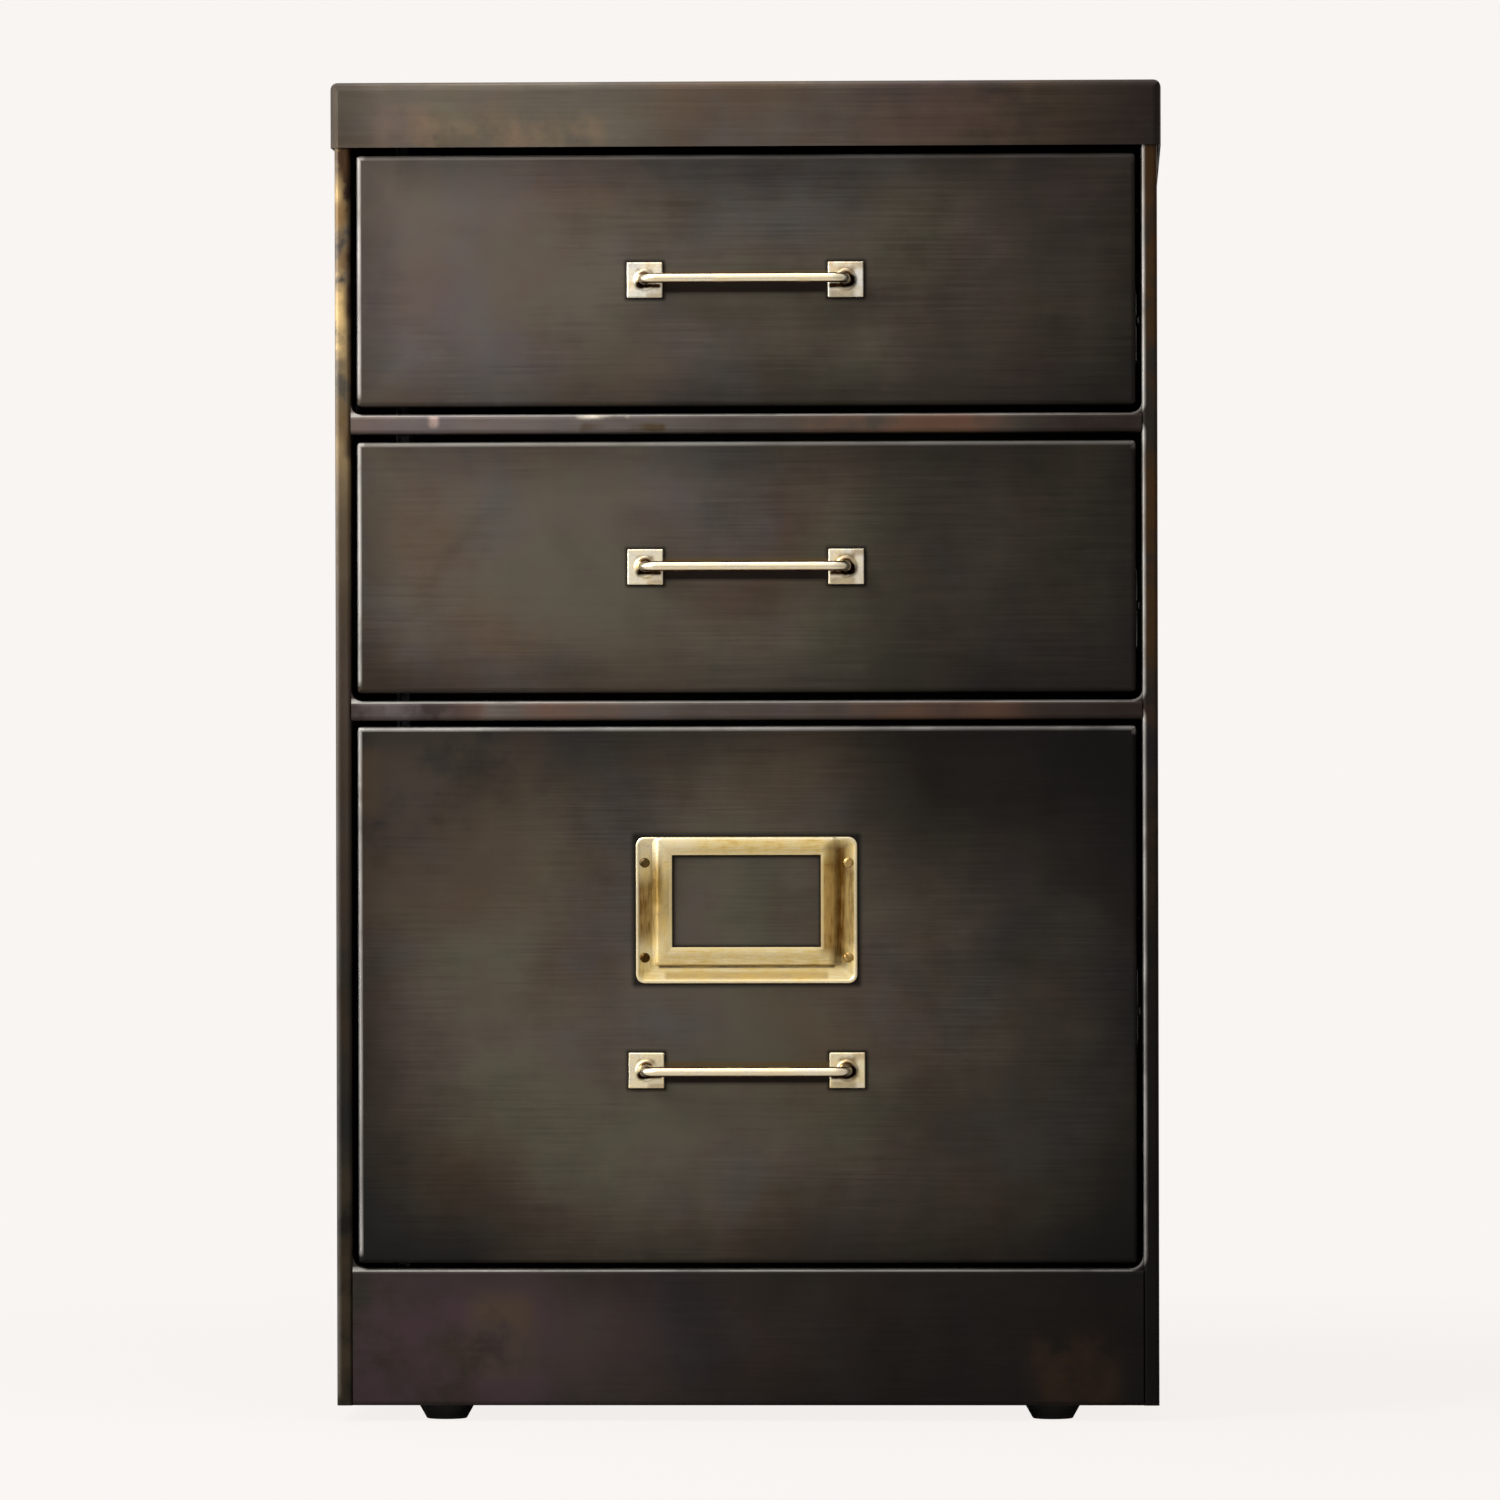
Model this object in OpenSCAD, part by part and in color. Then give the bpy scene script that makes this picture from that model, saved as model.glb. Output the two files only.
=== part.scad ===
// Drawer cabinet of folded steel sheet: two box drawers above a file drawer, each on a pair of
// full-extension ball-bearing slides. Millimetres. The front faces -Y and Z is up. The origin is
// on the floor, under the middle of the overall width and depth.

/* [Carcass] */
// Width over the two side panels
body_w = 416; // [404:2:460]
// Depth from the front of the stiles to the back
body_d = 498; // [492:2:560]
// Thickness of the carcass sheet
sheet = 1; // [0.8:0.1:1.2]
// Height of the folded lip of the cap
cap_h = 33; // [28:1:40]
// How far the cap stands out beyond the body
cap_over = 2; // [1.5:0.5:4]
// Radius of the folded edges of the cap
cap_r = 4.1; // [3.4:0.1:4.4]
// Width of the stile on each side of the drawers
stile_w = 8; // [8:0.5:12]
// Height of the plinth below the file drawer
plinth_h = 69; // [50:1:90]
// Height of a divider rail
rail_h = 10; // [9:1:14]
// Radius of the two corners above the plinth
plinth_corner_r = 7; // [3:0.5:8]
// Radius of the two corners above each divider rail
rail_corner_r = 5; // [2:0.5:6]
// Height of the feet below the plinth
foot_show = 8; // [6:0.5:10]

/* [Drawers] */
// Front height of each box drawer
box_front_h = 127; // [120:1:150]
// Front height of the file drawer
file_front_h = 271.5; // [268:0.5:300]
// Gap on each side of a drawer front
side_gap = 3; // [2:0.5:4]
// Gap above and below a box drawer front
box_gap = 4; // [3:0.5:5]
// Gap above and below the file drawer front
file_gap = 3; // [3:0.5:5]
// Depth of the folded drawer front
front_d = 18; // [16:1:20]
// Radius of the folded edges of a drawer front
front_r = 2.4; // [1.5:0.1:3]
// Thickness of the drawer body sheet
drawer_t = 0.9; // [0.8:0.1:1]
// Distance between the two hanging rails of the file drawer
hang_w = 330; // [320:1:335]

/* [Slides] */
// Length of each slide member
slide_len = 450; // [450:1:460]
// Travel of a drawer from shut to fully out
travel = 430; // [350:5:430]
// Ball diameter
ball_d = 3.1; // [3:0.05:3.1]
// Balls in each row of a cage
row_balls = 8; // [5:1:9]

/* [Pulls and label holder] */
// Distance between the screws of a pull
pull_centres = 101.6; // [76:0.1:128]
// Distance from the drawer front to the front of a pull
pull_reach = 27; // [24:0.5:35]
// Diameter of the pull's rod
bar_d = 5; // [5:0.5:6]
// Radius to which the middle line of the rod is bent at each end
bend_r = 6; // [5:0.5:9]
// Side of the square plate at each end of the rod
plate_w = 18; // [16:1:20]
// Width of the label holder
holder_w = 112; // [105:1:120]
// Height of the label holder
holder_h = 74; // [70:1:80]
// Width of the label holder's window
window_w = 75; // [65:1:80]
// Height of the label holder's window
window_h = 46.4; // [40:0.2:48]
// How far the window's centre lies above the label holder's centre
window_lift = 4.6; // [3:0.2:5]

/* [Hidden] */
$fn = 48;
eps = 0.01;
DRAWERS = ["upper", "centre", "file"];

STEEL = "#4a443e";
STEEL_LID = "#50463d";
STEEL_DARK = "#332e2b";
ZINC = "#b4b8ba";
BALL = "#d8dadc";
BRASS = "#c2a562";
BRASS_PALE = "#d9c68e";
RUBBER = "#161616";

// Carcass planes
overall_d = pull_reach + body_d + cap_over;
y_front = pull_reach - overall_d / 2;
y_back = y_front + body_d;
z_body = foot_show;
z_plinth = z_body + plinth_h;
side_x = body_w / 2;
open_x = side_x - stile_w;
cap_t = 1.2;
fold_r = 0.9;
body_edge_r = cap_r - cap_t - min(0.7, cap_over - cap_t - 0.1);
fit = 0.1;

// Drawer front places, from the floor up
z_file = z_plinth + file_gap;
z_rail_low = z_file + file_front_h + file_gap;
z_centre = z_rail_low + rail_h + box_gap;
z_rail_up = z_centre + box_front_h + box_gap;
z_upper = z_rail_up + rail_h + box_gap;
z_cap = z_upper + box_front_h + box_gap;
z_top = z_cap + cap_h;
z_carcass_top = z_top - cap_t;

front_w = 2 * (open_x - side_gap);
shell_t = 1;

// Carcass details
return_d = 16;
edge_in = 1.2;
rail_d = 22;
rear_flange = 14;
top_flange_in = [40, 20];
back_rim = 12;
base_flange = 15;
upright_half = 16;
upright_foot = 14;
upright_z0 = z_body + base_flange + 1;
foot_inset = 54;
foot_inset_y = 26;
foot_top_d = 28;
foot_bottom_d = 21;
screw_d = 4;
foot_recess = 2.6;
flange_screw_in = 40;
slot_w = 4.4;
slot_h = 12;
slot_pitch = 38;
slot_in = 32;
emboss_d = 2;
emboss_in = 45;
emboss_r = 1.4;
emboss_corner_r = 13;

// Slide section, in the (u, v) plane: u runs in from the upright, v is the height
slide_t = 12.7;
slide_wall = 1.2;
ball_r = ball_d / 2;
race_r = 1.61;
race_out = race_r + slide_wall;
outer_ball = [6.6, 20];
inner_ball = [8.9, outer_ball.y - race_r - slide_wall - race_r];
outer_v = outer_ball.y + race_out;
mid_web_u = 3.79;
mid_v = outer_ball.y - race_r;
inner_v = inner_ball.y - race_r;
cage_t = 0.6;
cage_len = 180;
cage_start = 140;
slide_y = y_front + front_d + 2;
slide_screw_in = 20;
runner_len = slide_len - 4;
stop_t = 1.2;

// Drawer bodies
body_x = open_x - slide_t;
body_y0 = y_front + front_d;
body_y1 = body_y0 + slide_len + 5;
hem_w = 9;
hem_lip = 4;
back_flange = 12;
bead_r = 6;
bead_rise = 1.4;
bead_in = 34;
rail_t = 1.5;
rail_drop = 18;

// Pulls and label holder
pull_x = pull_centres / 2;
pull_screw_d = 3;
plate_t = 2.4;
bar_y = y_front - pull_reach + bar_d / 2;
collar_r = 1.3;
holder_t = 0.8;
holder_rise = 2.8;
step_x = 8.6;
step_z = 8.8;
flank_x = 3;
flank_z = 0.9;
holder_r = 4.5;
holder_screw_d = 2.4;
holder_screw = [holder_w / 2 - 4.6, 24];

function front_z(d) = d == "upper" ? z_upper : d == "centre" ? z_centre : z_file;
function front_h(d) = d == "file" ? file_front_h : box_front_h;
function body_z(d) = front_z(d) + 6;
function side_h(d) = d == "file" ? front_h(d) - 31 : front_h(d) - 24;
function back_h(d) = d == "file" ? side_h(d) + 10 : side_h(d) - hem_lip - 2 * drawer_t - 0.6;
function slide_z(d) = body_z(d) + (d == "file" ? 120 : 38);
function pull_z(d) = d == "file" ? front_z(d) + 97.5 : front_z(d) + front_h(d) / 2;
holder_z = z_file + 178.5;

// Places of the screws through the back flanges, and of the feet
back_screw_z = [for (i = [0:3])
    z_body + flange_screw_in + i * (z_top - z_body - 2 * flange_screw_in) / 3];
foot_places = [for (x = [-1, 1], y = [y_front + foot_inset_y, y_back - foot_inset_y])
    [x * (side_x - foot_inset), y]];

// Points of an arc, from angle a0 to a1
function arc(c, r, a0, a1, n = 6) =
    [for (i = [0:n]) c + r * [cos(a0 + (a1 - a0) * i / n), sin(a0 + (a1 - a0) * i / n)]];

// Unit vector and its left normal
function unit(v) = v / norm(v);
function left(v) = [-v.y, v.x];

// One side of a strip folded along a path: k = 1 is the left side, k = -1 the right
function fold_side(path, t, r, k) =
    let (last = len(path) - 1)
    concat(
        [path[0] + k * t / 2 * left(unit(path[1] - path[0]))],
        [for (i = [1:last - 1])
            let (a = unit(path[i] - path[i - 1]),
                 b = unit(path[i + 1] - path[i]),
                 s = sign(a.x * b.y - a.y * b.x),
                 turn = acos(a * b),
                 mid_r = r + t / 2,
                 c = path[i] - a * mid_r * tan(turn / 2) + s * mid_r * left(a),
                 from = -s * left(a),
                 a0 = atan2(from.y, from.x))
            each arc(c, mid_r - s * k * t / 2, a0, a0 + s * turn, 4)],
        [path[last] + k * t / 2 * left(unit(path[last] - path[last - 1]))]);

// Outline of a sheet of thickness t folded along the middle line path with inside radius r
function folded(path, t, r = fold_r) =
    let (back = fold_side(path, t, r, -1))
    concat(fold_side(path, t, r, 1), [for (i = [len(back) - 1:-1:0]) back[i]]);

// Rectangle with four round corners
function round_rect(w, h, r) =
    [for (q = [[1, 1, 0], [-1, 1, 90], [-1, -1, 180], [1, -1, 270]])
        each arc([q.x * (w / 2 - r), q.y * (h / 2 - r)], r, q.z, q.z + 90, 5)];

// Rectangle with its two lower corners round
function tub(w, d, r) =
    concat([[w / 2, d], [-w / 2, d]],
           arc([r - w / 2, r], r, 180, 270, 5), arc([w / 2 - r, r], r, 270, 360, 5));

// Extrusions along Y from y0 to y1, and along X from x0 to x1, of an (x, z) or (y, z) outline
module along_y(y0, y1) translate([0, y1, 0]) rotate([90, 0, 0]) linear_extrude(y1 - y0) children();
module along_x(x0, x1) translate([x0, 0, 0]) rotate([90, 0, 90]) linear_extrude(x1 - x0) children();

// The right-hand side, or its mirror image on the left
module on_side(side) {
    if (side > 0) children();
    else mirror([1, 0, 0]) children();
}

// Block with rounded edges round its base and rounded upright corners
module tray_block(w, h, d, edge_r, corner_r)
    intersection() {
        linear_extrude(d) polygon(round_rect(w, h, corner_r));
        along_y(-h / 2, h / 2) polygon(tub(w, d, edge_r));
        along_x(-w / 2, w / 2) polygon(tub(h, d, edge_r));
    }

// Folded tray with its base on z = 0, open upwards
module tray(w, h, d, t, edge_r, corner_r)
    difference() {
        tray_block(w, h, d, edge_r, corner_r);
        translate([0, 0, t])
            tray_block(w - 2 * t, h - 2 * t, d, max(edge_r - t, 0.4), max(corner_r - t, 0.4));
    }

// Upright slot with round ends, cut along +X
module slot(h, w, depth)
    union() {
        for (z = [-1, 1])
            translate([0, 0, z * (h - w) / 2]) rotate([0, 90, 0]) cylinder(h = depth, d = w);
        translate([0, -w / 2, (w - h) / 2]) cube([depth, w, h - w]);
    }

// Pan-head screw along +Z: the head lies below z = 0, the shank above it
module screw(head_d, head_h, length, d = screw_d)
    difference() {
        union() {
            rotate_extrude() polygon(concat(
                [[0, 0], [head_d / 2, 0]],
                arc([head_d / 2 - head_h * 0.7, -head_h * 0.3], head_h * 0.7, 0, -90, 4),
                [[0, -head_h]]));
            cylinder(h = length, d = d);
        }
        translate([-head_d / 2, -head_d / 12, -head_h - eps])
            cube([head_d, head_d / 6, head_h * 0.45]);
    }

// ---------------------------------------------------------------- carcass

module top_cap()
    color(STEEL_LID)
    translate([0, (y_front + y_back) / 2, z_top]) rotate([180, 0, 0])
        tray(body_w + 2 * cap_over, body_d + 2 * cap_over, cap_h, cap_t, cap_r, cap_r);

// Side, folded at the front into the stile and its return, with flanges at the back and the top
module side_panel(side)
    color(STEEL)
    on_side(side) difference() {
        intersection() {
            union() {
                translate([0, 0, z_body]) linear_extrude(z_carcass_top - z_body)
                    polygon(folded([
                        [open_x + sheet / 2, y_front + return_d],
                        [open_x + sheet / 2, y_front + sheet / 2],
                        [side_x - sheet / 2, y_front + sheet / 2],
                        [side_x - sheet / 2, y_back - sheet / 2],
                        [side_x - rear_flange, y_back - sheet / 2]], sheet));
                translate([side_x - rear_flange, y_front + top_flange_in[0], z_carcass_top - sheet])
                    cube([rear_flange - sheet / 2, body_d - top_flange_in[0] - top_flange_in[1], sheet]);
            }
            translate([0, (y_front + y_back) / 2, z_carcass_top]) rotate([180, 0, 0])
                tray_block(body_w, body_d, z_carcass_top - z_body, body_edge_r, 0.4);
        }
        for (z = back_screw_z)
            translate([side_x - rear_flange / 2, y_back - 5, z]) rotate([-90, 0, 0])
                cylinder(h = 10, d = screw_d + fit);
    }

// Folded tray with a wide field pressed into it, which stiffens the sheet
module back_panel()
    let (w = 2 * (side_x - sheet) - 0.2, h = z_carcass_top - z_body - sheet - 0.3)
    color(STEEL)
    difference() {
        translate([0, y_back - sheet, z_body + sheet + h / 2]) rotate([90, 0, 0])
            difference() {
                union() {
                    tray(w, h, back_rim, sheet, 1.4, 0.5);
                    translate([0, 0, emboss_d + sheet]) rotate([180, 0, 0])
                        tray_block(w - 2 * emboss_in, h - 2 * emboss_in, emboss_d + sheet,
                                   emboss_r + sheet, emboss_corner_r + sheet);
                }
                translate([0, 0, emboss_d]) rotate([180, 0, 0])
                    tray_block(w - 2 * emboss_in - 2 * sheet, h - 2 * emboss_in - 2 * sheet,
                               emboss_d + 1, emboss_r, emboss_corner_r);
            }
        for (x = [-1, 1], z = back_screw_z)
            translate([x * (side_x - rear_flange / 2), y_back - 6, z]) rotate([-90, 0, 0])
                cylinder(h = 10, d = screw_d + fit);
    }

module back_panel_screws()
    color(ZINC)
    for (x = [-1, 1], z = back_screw_z)
        translate([x * (side_x - rear_flange / 2), y_back, z]) rotate([90, 0, 0])
            screw(head_d = 7, head_h = 1.6, length = 7);

module base_pan()
    color(STEEL_DARK)
    difference() {
        translate([0, (y_front + return_d + y_back - sheet - back_rim) / 2, z_body])
            tray(2 * (side_x - sheet), body_d - return_d - sheet - back_rim - 1, base_flange,
                 sheet, 1, 0.5);
        for (p = foot_places)
            translate([p.x, p.y, z_body - 1]) cylinder(h = 5, d = screw_d + fit);
    }

module plinth()
    color(STEEL)
    union() {
        along_x(-open_x, open_x) polygon(folded([
            [y_front + 15, z_body + sheet / 2],
            [y_front + sheet / 2, z_body + sheet / 2],
            [y_front + sheet / 2, z_plinth - sheet / 2],
            [y_front + 20, z_plinth - sheet / 2],
            [y_front + 20, z_plinth - 9]], sheet, 1.2));
        opening_corners(z_plinth, plinth_corner_r);
    }

// Webs of radius r that round the two corners of an opening whose lower edge is at height z
module opening_corners(z, r)
    for (side = [-1, 1]) on_side(side)
        along_y(y_front + edge_in, y_front + return_d) polygon(concat(
            [[open_x, z - sheet / 2], [open_x, z + r]],
            arc([open_x - r, z + r], r, 0, -90, 6),
            [[open_x - r, z - sheet / 2]]));

// Divider rail: a channel open to the back, with its lower flange under the drawer above
module divider_rail(z)
    color(STEEL)
    union() {
        along_x(-open_x, open_x) polygon(folded([
            [y_front + rail_d, z + 6],
            [y_front + rail_d, z + sheet / 2],
            [y_front + sheet / 2, z + sheet / 2],
            [y_front + sheet / 2, z + rail_h - sheet / 2],
            [y_front + return_d + 1, z + rail_h - sheet / 2]], sheet, 1.3));
        opening_corners(z + rail_h, rail_corner_r);
    }

module header_rail()
    color(STEEL_DARK)
    along_x(-open_x, open_x) polygon(folded([
        [y_front + 20, z_cap + 8],
        [y_front + 20, z_cap + 1.5 + sheet / 2],
        [y_front + sheet / 2, z_cap + 1.5 + sheet / 2],
        [y_front + sheet / 2, z_carcass_top - sheet / 2],
        [y_front + 24, z_carcass_top - sheet / 2]], sheet, body_edge_r - sheet));

// Hat-section upright that spaces the slides in from the side panel
module upright(side, y)
    color(ZINC)
    on_side(side) difference() {
        translate([0, 0, upright_z0]) linear_extrude(z_carcass_top - sheet - 2 - upright_z0)
            polygon(folded([
                [side_x - 1.5 * sheet, y - upright_half - upright_foot],
                [side_x - 1.5 * sheet, y - upright_half],
                [open_x + sheet / 2, y - upright_half],
                [open_x + sheet / 2, y + upright_half],
                [side_x - 1.5 * sheet, y + upright_half],
                [side_x - 1.5 * sheet, y + upright_half + upright_foot]], sheet));
        for (d = DRAWERS)
            translate([open_x - 2, y, slide_z(d)]) rotate([0, 90, 0])
                cylinder(h = 5, d = screw_d + fit);
        for (z = [upright_z0 + slot_in:slot_pitch:z_carcass_top - slot_in])
            if (min([for (d = DRAWERS) abs(z - slide_z(d))]) > slot_h)
                translate([open_x - 2, y, z]) slot(slot_h, slot_w, 5);
    }

module foot(i)
    color(RUBBER)
    translate([foot_places[i].x, foot_places[i].y, 0]) rotate_extrude() polygon(concat(
        [[screw_d / 2 + fit / 2, foot_show], [screw_d / 2 + fit / 2, foot_recess],
         [4.6, foot_recess], [4.6, 0]],
        arc([foot_bottom_d / 2 - 1, 1], 1, -90, -25, 4),
        [[foot_top_d / 2, foot_show - 1], [foot_top_d / 2, foot_show]]));

module foot_screws()
    color(ZINC)
    for (p = foot_places) translate([p.x, p.y, foot_recess])
        screw(head_d = 8, head_h = 2, length = 11);

// ---------------------------------------------------------------- slides

// A (u, v) outline run along the slide from s0 to s1 behind the drawer front, on both sides
module slide_run(d, s0, s1)
    for (side = [-1, 1]) on_side(side)
        translate([open_x, 0, slide_z(d)]) mirror([1, 0, 0])
            along_y(slide_y + s0, slide_y + s1) children();

// The same outline above and below the middle of the slide
module both_rows() {
    children();
    mirror([0, 1]) children();
}

module outer_section()
    both_rows() polygon(concat(
        [[0, -eps], [0, outer_v - 0.8], [0.8, outer_v]],
        arc(outer_ball, race_out, 90, 0),
        [[outer_ball.x + race_out, outer_ball.y - 0.6], [outer_ball.x + race_r, outer_ball.y - 0.6]],
        arc(outer_ball, race_r, 0, 90),
        [[slide_wall, outer_v - slide_wall], [slide_wall, -eps]]));

module intermediate_section()
    both_rows() polygon(concat(
        [[mid_web_u, -eps], [mid_web_u, mid_v - 0.8], [mid_web_u + 0.8, mid_v]],
        arc(inner_ball, race_out, 90, 0),
        [[inner_ball.x + race_out, inner_ball.y - 0.1], [inner_ball.x + race_r, inner_ball.y - 0.1]],
        arc(inner_ball, race_r, 0, 90),
        [[mid_web_u + slide_wall, mid_v - slide_wall], [mid_web_u + slide_wall, -eps]]));

module inner_section()
    let (stop = 0.7)
    both_rows() polygon(concat(
        [[slide_t, -eps], [slide_t, inner_v - 0.8], [slide_t - 0.8, inner_v]],
        arc(inner_ball, race_r, 270, 180 + asin(stop / race_r)),
        arc(inner_ball, race_out, 180 + asin(stop / race_out), 270),
        [[slide_t - slide_wall, inner_v - slide_wall], [slide_t - slide_wall, -eps]]));

// Outer member, with a tab turned in at the back that stops the intermediate member
module slide_outer(d)
    color(ZINC)
    difference() {
        union() {
            slide_run(d, 0, slide_len) outer_section();
            slide_run(d, slide_len - stop_t, slide_len)
                polygon([[slide_wall / 2, -6], [9.4, -6], [9.4, 6], [slide_wall / 2, 6]]);
        }
        slide_screw_holes(d);
        for (side = [-1, 1], s = [95, 225, 355])
            on_side(side) translate([open_x - 3, slide_y + s, slide_z(d)])
                slot(slot_h, slot_w, 5);
    }

module slide_screw_holes(d)
    for (x = [-1, 1], s = [slide_screw_in, slide_len - slide_screw_in])
        translate([x * (open_x - 5), slide_y + s, slide_z(d)]) rotate([0, x * 90, 0])
            cylinder(h = 10, d = screw_d + fit);

module slide_screws()
    color(ZINC)
    for (d = DRAWERS, x = [-1, 1], s = [slide_screw_in, slide_len - slide_screw_in])
        translate([x * (open_x - slide_wall), slide_y + s, slide_z(d)]) rotate([0, x * 90, 0])
            screw(head_d = 6.5, head_h = 1.5, length = 5.5);

module slide_intermediate(d)
    color(ZINC)
    slide_run(d, 0, runner_len) intermediate_section();

module slide_inner(d)
    color(ZINC)
    slide_run(d, 0, slide_len) inner_section();

// A row of balls along the slide, above and below its middle
module ball_rows(d, place)
    for (x = [-1, 1], v = [-1, 1], i = [0:row_balls - 1])
        translate([x * (open_x - place.x),
                   slide_y + cage_start + (i + 0.5) * cage_len / row_balls,
                   slide_z(d) + v * place.y])
            sphere(d = ball_d, $fn = 24);

module cage_outer(d)
    color(BALL)
    union() {
        slide_run(d, cage_start, cage_start + cage_len) polygon(folded([
            [outer_ball.x + 1.2, -outer_ball.y], [slide_wall + 1, -outer_ball.y],
            [slide_wall + 1, outer_ball.y], [outer_ball.x + 1.2, outer_ball.y]], cage_t, 0.4));
        ball_rows(d, outer_ball);
    }

module cage_inner(d)
    color(BALL)
    union() {
        slide_run(d, cage_start, cage_start + cage_len) polygon(folded([
            [inner_ball.x + 1.2, -inner_ball.y], [mid_web_u + slide_wall + 0.55, -inner_ball.y],
            [mid_web_u + slide_wall + 0.55, inner_ball.y], [inner_ball.x + 1.2, inner_ball.y]],
            cage_t, 0.15));
        ball_rows(d, inner_ball);
    }

// ---------------------------------------------------------------- drawers

module front_shell(d)
    color(STEEL)
    difference() {
        translate([0, y_front, front_z(d) + front_h(d) / 2]) rotate([-90, 0, 0])
            tray(front_w, front_h(d), front_d, shell_t, front_r, front_r);
        for (x = [-pull_x, pull_x])
            translate([x, y_front - 2, pull_z(d)]) rotate([-90, 0, 0])
                cylinder(h = 5, d = pull_screw_d + fit);
        if (d == "file")
            for (x = [-1, 1], z = [-1, 1])
                translate([x * holder_screw.x, y_front - 2, holder_z + z * holder_screw.y])
                    rotate([-90, 0, 0]) cylinder(h = 5, d = holder_screw_d + fit);
    }

module front_liner(d)
    color(STEEL_DARK)
    translate([0, y_front + front_d, front_z(d) + front_h(d) / 2]) rotate([90, 0, 0])
        tray(front_w - 2 * shell_t, front_h(d) - 2 * shell_t, front_d - 4, shell_t, 1.2, 1.4);

// Sides and bottom of a drawer, folded from one sheet, with a hem along each top edge
module drawer_body(d)
    let (x = body_x - drawer_t / 2, low = body_z(d) + drawer_t / 2,
         high = body_z(d) + side_h(d) - drawer_t / 2, hem = body_x - hem_w + drawer_t / 2)
    color(STEEL_DARK)
    difference() {
        union() {
            along_y(body_y0, body_y1) polygon(folded([
                [-hem, high - hem_lip], [-hem, high], [-x, high], [-x, low],
                [x, low], [x, high], [hem, high], [hem, high - hem_lip]], drawer_t, 1));
            intersection() {
                bottom_beads(d, bead_r);
                translate([-body_x, body_y0, body_z(d) + drawer_t / 2])
                    cube([2 * body_x, slide_len, bead_r]);
            }
        }
        bottom_beads(d, bead_r - drawer_t);
    }

// Rods with round ends that shape the three beads pressed up across a drawer's bottom
module bottom_beads(d, r)
    for (i = [1:3])
        translate([0, body_y0 + i * (body_y1 - body_y0) / 4,
                   body_z(d) + drawer_t + bead_rise - bead_r]) union() {
            translate([bead_in - body_x, 0, 0]) rotate([0, 90, 0])
                cylinder(h = 2 * (body_x - bead_in), r = r);
            for (x = [-1, 1]) translate([x * (body_x - bead_in), 0, 0]) sphere(r = r);
        }

module drawer_back(d)
    let (w = 2 * (body_x - drawer_t))
    color(STEEL_DARK)
    difference() {
        translate([0, body_y1, body_z(d) + drawer_t + back_h(d) / 2]) rotate([90, 0, 0])
            tray(w, back_h(d), back_flange, drawer_t, 1, 1.2);
        if (d == "file") for (side = [-1, 1]) on_side(side)
            translate([body_x - hem_w - 1, body_y1 - 20, body_z(d) + side_h(d) - hem_lip - 1.5])
                cube([hem_w + 5, 30, back_h(d)]);
    }

// Angle bar that carries the hooks of the hanging files, with a tab at each end
module hang_rail(side)
    let (z0 = body_z("file") + back_h("file") - 4 - rail_drop, y1 = body_y1 - drawer_t)
    color(ZINC)
    on_side(side) union() {
        translate([hang_w / 2, body_y0, z0]) cube([rail_t, y1 - body_y0, rail_drop]);
        for (y = [body_y0, y1 - rail_t])
            translate([hang_w / 2, y, z0]) cube([11, rail_t, rail_drop]);
    }

// ---------------------------------------------------------------- pulls and label holder

// Rod that runs across the front and is bent back into its plates, tapped at both ends
module pull_bar(d)
    color(BRASS)
    translate([0, 0, pull_z(d)]) difference() {
        union() {
            translate([bend_r - pull_x, bar_y, 0]) rotate([0, 90, 0])
                cylinder(h = pull_centres - 2 * bend_r, d = bar_d);
            for (side = [-1, 1]) on_side(side) {
                translate([pull_x - bend_r, bar_y + bend_r, 0]) rotate([0, 0, -90])
                    rotate_extrude(angle = 90) translate([bend_r, 0]) circle(d = bar_d);
                translate([pull_x, y_front, 0]) rotate([90, 0, 0])
                    cylinder(h = y_front - bar_y - bend_r, d = bar_d);
            }
        }
        for (x = [-pull_x, pull_x])
            translate([x, y_front + 1, 0]) rotate([90, 0, 0])
                cylinder(h = 11, d = pull_screw_d + fit);
    }

// Square plates with a bead round the rod and a narrow moat inside it
module pull_posts(d)
    color(BRASS_PALE)
    for (x = [-pull_x, pull_x])
        translate([x, y_front, pull_z(d)]) rotate([90, 0, 0]) difference() {
            union() {
                translate([0, 0, plate_t]) rotate([180, 0, 0])
                    tray_block(plate_w, plate_w, plate_t, 0.7, 0.8);
                rotate_extrude() translate([bar_d / 2 + 0.6 + collar_r, plate_t + 0.3])
                    circle(r = collar_r);
            }
            translate([0, 0, -1]) cylinder(h = plate_t + 4, d = bar_d + fit);
        }

module pull_screws(d)
    color(ZINC)
    for (x = [-pull_x, pull_x])
        translate([x, y_front + shell_t, pull_z(d)]) rotate([90, 0, 0])
            screw(head_d = 6.5, head_h = 2.2, length = 9, d = pull_screw_d);

// Block d high whose two sides lean in by run and whose lower edge leans in by low_run
module leaning_block(w, h, d, run, low_run)
    intersection() {
        along_y(-h / 2, h / 2) polygon([[-w / 2, 0], [w / 2, 0], [w / 2 - run, d], [run - w / 2, d]]);
        along_x(-w / 2, w / 2) polygon([[-h / 2, 0], [h / 2, 0], [h / 2, d], [low_run - h / 2, d]]);
    }

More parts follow.
